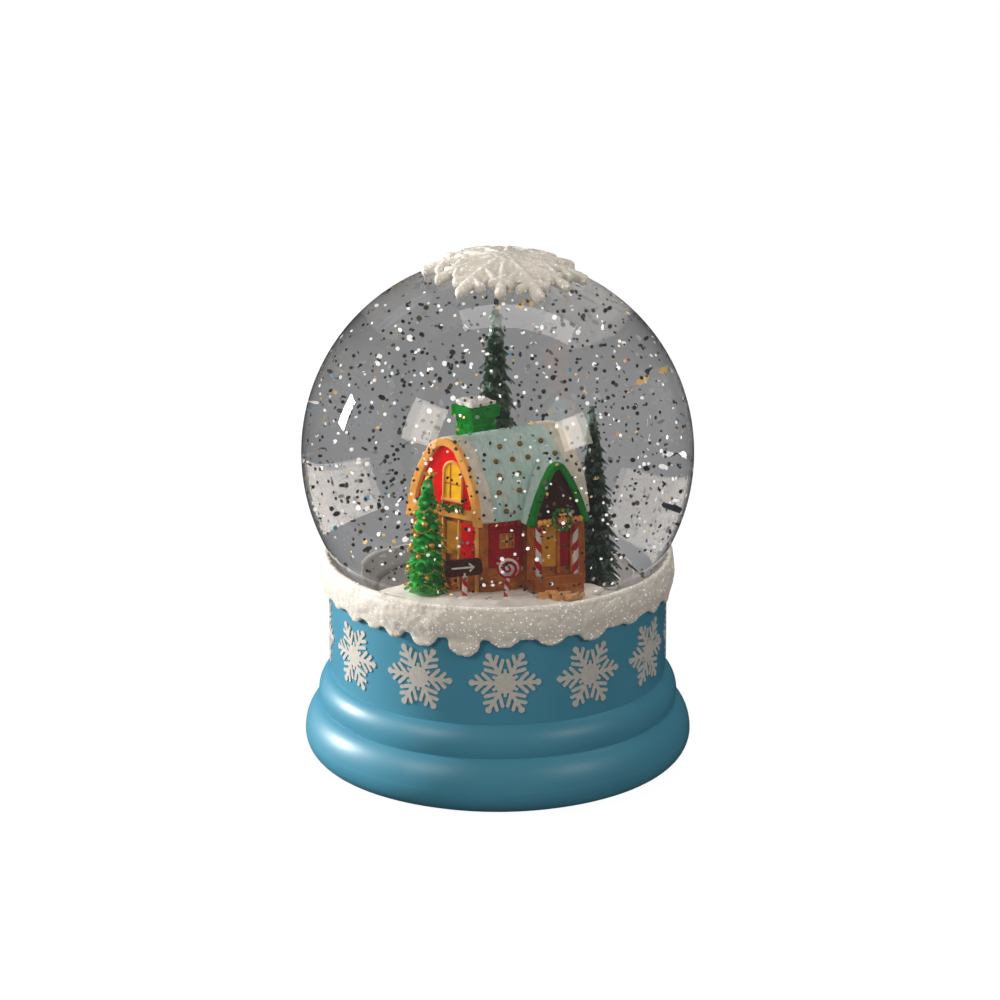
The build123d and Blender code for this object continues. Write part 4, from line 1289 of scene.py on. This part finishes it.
def lollipop(look):
    """Round sweet with a red spiral; the mesh is wound so that the stripe has clean edges."""
    low, high = corners("lollipop_disc")
    middle, radius, half = middle_of("lollipop_disc"), (high.z - low.z) / 2, (high.y - low.y) / 2
    sides, rings = 48, 16
    points, faces, red = [], [], []
    for front in (-1, 1):
        first = len(points)
        for j in range(1, rings + 1):
            share = j / rings
            edge = 1 - max(0.0, share - 0.72) ** 2 * 9
            for i in range(sides):
                a = tau * (i / sides - 1.75 * share)
                x, z = radius * share * cos(a), radius * share * sin(a)
                points.append(middle + Vector((x, front * half * edge, z)))
        hub = len(points)
        points.append(middle + Vector((0, front * half, 0)))
        for i in range(sides):
            faces.append((hub, first + i, first + (i + 1) % sides))
            red.append(i < sides * 0.5)
        for j in range(rings - 1):
            for i in range(sides):
                a, b = first + j * sides, first + (j + 1) * sides
                faces.append((a + i, b + i, b + (i + 1) % sides, a + (i + 1) % sides))
                red.append(i < sides * 0.5 or j > rings - 3)
    front_rim = (rings - 1) * sides
    back_rim = front_rim + rings * sides + 1
    for i in range(sides):
        k = (i + 1) % sides
        faces.append((front_rim + i, back_rim + i, back_rim + k, front_rim + k))
        red.append(True)
    clean(striped(look, red, "lollipop_sweet", points, faces, "lollipop_disc"))


def sign(look):
    """Wooden board, with an arrow modelled on it."""
    def grain(p, n):
        return 0.12 * noise.noise(Vector((p.x / 6.0, p.y, p.z / 0.5)))
    node = "sign_board"
    hand_made(look, node, "sign_plank", "sign_brown", 0.2, 0.05, grain)
    slope = radians(6.5)
    along = Vector((cos(slope), 0, sin(slope)))
    across = Vector((-along.z, 0, along.x))
    middle = middle_of(node)
    face = middle + Vector((0, corners(node)[0].y - middle.y - 0.05, 0))
    tail, tip = face - along * 3.6, face + along * 3.4
    barbs = [tip - along * 1.5 + across * side for side in (1.3, -1.3)]
    arrow = (("arrow_shaft", [tail, tip], 0.32), ("arrow_head", [barbs[0], tip, barbs[1]], 0.32))
    trim_rods(look, "flake_white", *arrow)


def christmas_tree(look):
    """Garden tree with bead strings, balls and a star."""
    node, bottom, power = "christmas_tree", 82.4, 0.42
    conifer("garden_tree", node, "tree_green", look, 9, 15, bottom, power, 0.55, 5, 0.98)
    top, middle, radius = corners(node)[1].z, middle_of(node), half_width(node)
    draw = random.Random(9)
    beads, balls = [], []

    def skin(z):
        share = (top - z) / (top - bottom)
        return radius * max(0.0, share) ** power

    def round_tree(a, r, z):
        return Vector((middle.x + r * cos(a), middle.y + r * sin(a), z))

    for level in (110.5, 104.0, 97.5, 91.0, 86.0):
        for k in range(46):
            a = tau * k / 46
            z = level - 1.5 * abs(sin(2.5 * a + level))
            beads.append(round_tree(a, skin(z) * 0.99 + 0.15, z))
    for k in range(20):
        a = tau * k * 0.382 + draw.uniform(-0.2, 0.2)
        z = 85.0 + 26.0 * (k + 0.5) / 20
        balls.append(round_tree(a, skin(z) * 0.82, z))
    bm = bmesh.new()
    for p in beads:
        add_ball(bm, p, 0.26, detail=1)
    from_bmesh("tree_bead_strings", bm, look["gold_paint"], "gold_paint")
    baubles("tree_baubles", balls, 0.95, look)
    star("tree_star", look["gold_paint"])


def star(node, finish):
    """Five-pointed star with a raised middle on both sides."""
    middle, radius = middle_of(node), half_width(node)
    points, faces = [middle + Vector((0, y, 0)) for y in (-1.1, 1.1)], []
    for i in range(10):
        a = radians(90 + 36 * i)
        r = radius * (1.0 if i % 2 == 0 else 0.45)
        points.append(middle + Vector((r * cos(a), 0, r * sin(a))))
    for i in range(10):
        a, b = 2 + i, 2 + (i + 1) % 10
        faces += [(0, a, b), (1, b, a)]
    more = {"stands_for": (node,), "smooth": False}
    clean(piece("top_star", points, faces, finish, "gold_paint", **more))


def snow_drifts(finish):
    """Small banks of snow against the walls, sign and stones."""
    spots = [
        (on_gable(1.0, 0, 1.4), 1.6),
        (on_gable(6.0, 0, 2.0), 1.3),
        (on_side(3.0, 0, 1.5), 1.8),
        (on_side(9.0, 0, 1.2), 1.5),
        (on_side(31.5, 0, 3.0), 3.2),
        (on_side(33.0, 0, 7.0), 2.4),
        (Vector((3.3, -25, 0)), 1.4),
        (Vector((-10.2, -24, 0)), 1.4),
    ]
    bm = bmesh.new()
    for at, size in spots:
        add_ball(bm, Vector((at.x, at.y, SNOW_TOP - 1.4)), size, (1.5, 1.3, 0.75), 3)
    for v in bm.verts:
        v.co += v.normal * 0.2 * lump(v.co, 1.5, 15)
    from_bmesh("snow_drifts", bm, finish, "resin_snow")


def cottage(look):
    rows = [    # node, piece, slot, voxel, lumps, pattern, rounds of smoothing
        ("cottage_walls", "cottage_body", "wall_tan", 0.3, 0.1, wall_pattern),
        ("porch_walls", "porch_body", "wall_tan", 0.28, 0.1, wall_pattern),
        ("gable_trim", "gable_board", "trim_orange", 0.22, 0.1),
        ("chimney", "chimney_stack", "board_paint_green", 0.25, 0.2, brickwork),
        ("chimney_snow", "chimney_cap_snow", "resin_snow", 0.25, 0.5, None, 7),
        ("red_shutters", "shutters", "shutter_red", 0.22, 0.08),
    ]
    for row in rows:
        hand_made(look, *row)
    roof(look["roof_teal"])
    roof_beads(look["bead_gold"])
    for part in (attic_window, door_frames, shutter_trim, porch_trim, greenery, candy, sign):
        part(look)


# ---- all finishes, and those of the frame's own nodes -------------------------------
def dress_frame(finishes):
    """Gives each CAD node the finish of its material slot."""
    slots = {s["node"]: s["material_slot"] for s in frame["record"]["subparts"]}
    slots["porch_door"] = "porch_pane"
    for name, ob in frame["nodes"].items():
        finish = finishes.get(slots[name])
        if finish is None:
            continue
        if not ob.material_slots:
            ob.data.materials.append(finish)
        for each in ob.material_slots:
            each.material = finish


PAINTS = {    # colour, shade, roughness, coat, size of the patches
    "wall_tan": ((190, 112, 44), (160, 82, 28), 0.4, 0.2),
    "wall_light": ((206, 126, 54), (176, 98, 36), 0.4, 0.2),
    "trim_orange": ((255, 186, 98), (250, 166, 74), 0.35, 0.3),
    "panel_red": ((246, 8, 10), (222, 4, 8), 0.35, 0.4),
    "panel_maroon": ((64, 18, 10), (44, 8, 4), 0.5),
    "shutter_red": ((170, 4, 20), (140, 2, 14), 0.35, 0.3),
    "door_gold": ((176, 110, 32), (214, 150, 40), 0.35, 0.4),
    "window_tan": ((190, 128, 66), (160, 98, 48), 0.35, 0.4),
    "board_paint_green": ((2, 142, 38), (0, 108, 26), 0.3, 0.3),
    "candy_stripe": ((228, 216, 208), (214, 200, 192), 0.3, 0.5),
    "candy_red": ((196, 16, 28), (160, 10, 20), 0.3, 0.5),
    "stone": ((236, 176, 112), (206, 138, 78), 0.5, 0.0, 1.5),
    "sign_brown": ((70, 34, 22), (48, 20, 12), 0.4, 0.2),
    "roof_plain": ((172, 204, 198), (204, 222, 216), 0.5, 0.15),
}
NEEDLES = {    # deep colour, light colour, colour of the frost and painted highlight on the tips, share of it
    "wreath_green": ((2, 88, 28), (18, 152, 52), (210, 220, 200), 0.2),
    "pine_green": ((0, 12, 4), (6, 62, 22), (170, 200, 184), 0.75),
    "tree_green": ((4, 126, 34), (24, 184, 64), (110, 214, 120), 0.22),
    "garland": ((4, 104, 32), (24, 172, 62), (190, 220, 170), 0.3),
}
LIT = {    # colour, shade, strength of the glow
    "window_yellow": ((242, 188, 30), (220, 158, 18), 0.35),
    "porch_pane": ((214, 150, 34), (190, 122, 20), 0.1),
    "led_warm": ((255, 238, 196), (250, 226, 176), 0.6),
}
PLAIN = {    # colour, shade, roughness, how metallic
    "clear_plastic": ((225, 230, 232), (210, 216, 220), 0.2),
    "seal_rubber": ((26, 26, 28), (38, 38, 40), 0.75),
    "foot_rubber": ((48, 50, 52), (64, 66, 68), 0.8),
    "white_plastic": ((226, 227, 226), (214, 215, 214), 0.45),
    "magnet": ((190, 190, 194), (168, 168, 172), 0.25, 1.0),
    "steel": ((186, 187, 190), (150, 152, 156), 0.32, 1.0),
    "brass_contact": ((212, 188, 120), (188, 160, 90), 0.3, 1.0),
    "motor_can": ((178, 180, 184), (152, 154, 160), 0.35, 1.0),
    "board_green": ((18, 84, 44), (12, 66, 34), 0.4),
    "cell_wrap": ((52, 62, 76), (40, 48, 60), 0.3),
    "black_plastic": ((22, 22, 23), (32, 32, 33), 0.5),
    "wire_red": ((176, 24, 18), (150, 18, 14), 0.45),
}
GILT = {    # size of the wear, colour, worn colour, metallic, roughness, added by wear
    "gold_paint": (0.5, (232, 188, 92), (186, 136, 56), 0.85, 0.26, 0.2),
    "bead_gold": (0.6, (176, 132, 48), (96, 68, 22), 0.9, 0.16, 0.12),
}
# Materials that are known by another name than their slot.
OTHER_NAMES = {
    "board_paint_green": "board_green",
    "board_green": "circuit_green",
    "candy_stripe": "candy_white",
    "gold_paint": "gold_beads",
}


def all_finishes():
    """Material of every slot, and of the few extra paints."""
    look = {
        "base_blue": satin_blue(),
        "flake_white": mould_white(),
        "glitter_snow": glitter_snow(),
        "clear_globe": clear_glass(),
        "water": clear_water(),
        "resin_snow": resin_snow(),
        "roof_teal": roof_finish(),
    }
    makers = ((paint, PAINTS), (needle_green, NEEDLES), (lit_window, LIT), (plain, PLAIN), (gilt, GILT))
    for make, table in makers:
        for slot, row in table.items():
            values = [rgb(*v) if isinstance(v, tuple) else v for v in row]
            look[slot] = make(OTHER_NAMES.get(slot, slot), *values)
    return look


def build():
    camera()
    floor()
    sky()
    lights()
    look = all_finishes()
    dress_frame(look)
    globe(look["clear_globe"])
    water(look["water"])
    trim(look["glitter_snow"])
    topper(look["glitter_snow"])
    ground(look["resin_snow"])
    stones(look["stone"])
    conifer("pine_behind", "back_pine", "pine_green", look, 14, 14, 84.0, 0.46, 0.75, 3)
    conifer("pine_beside", "right_pine", "pine_green", look, 13, 13, 82.0, 0.48, 0.8, 4)
    christmas_tree(look)
    snow_drifts(look["resin_snow"])
    cottage(look)
    flakes(flake_finish())


build()
SCENE.view_settings.view_transform = "Standard"
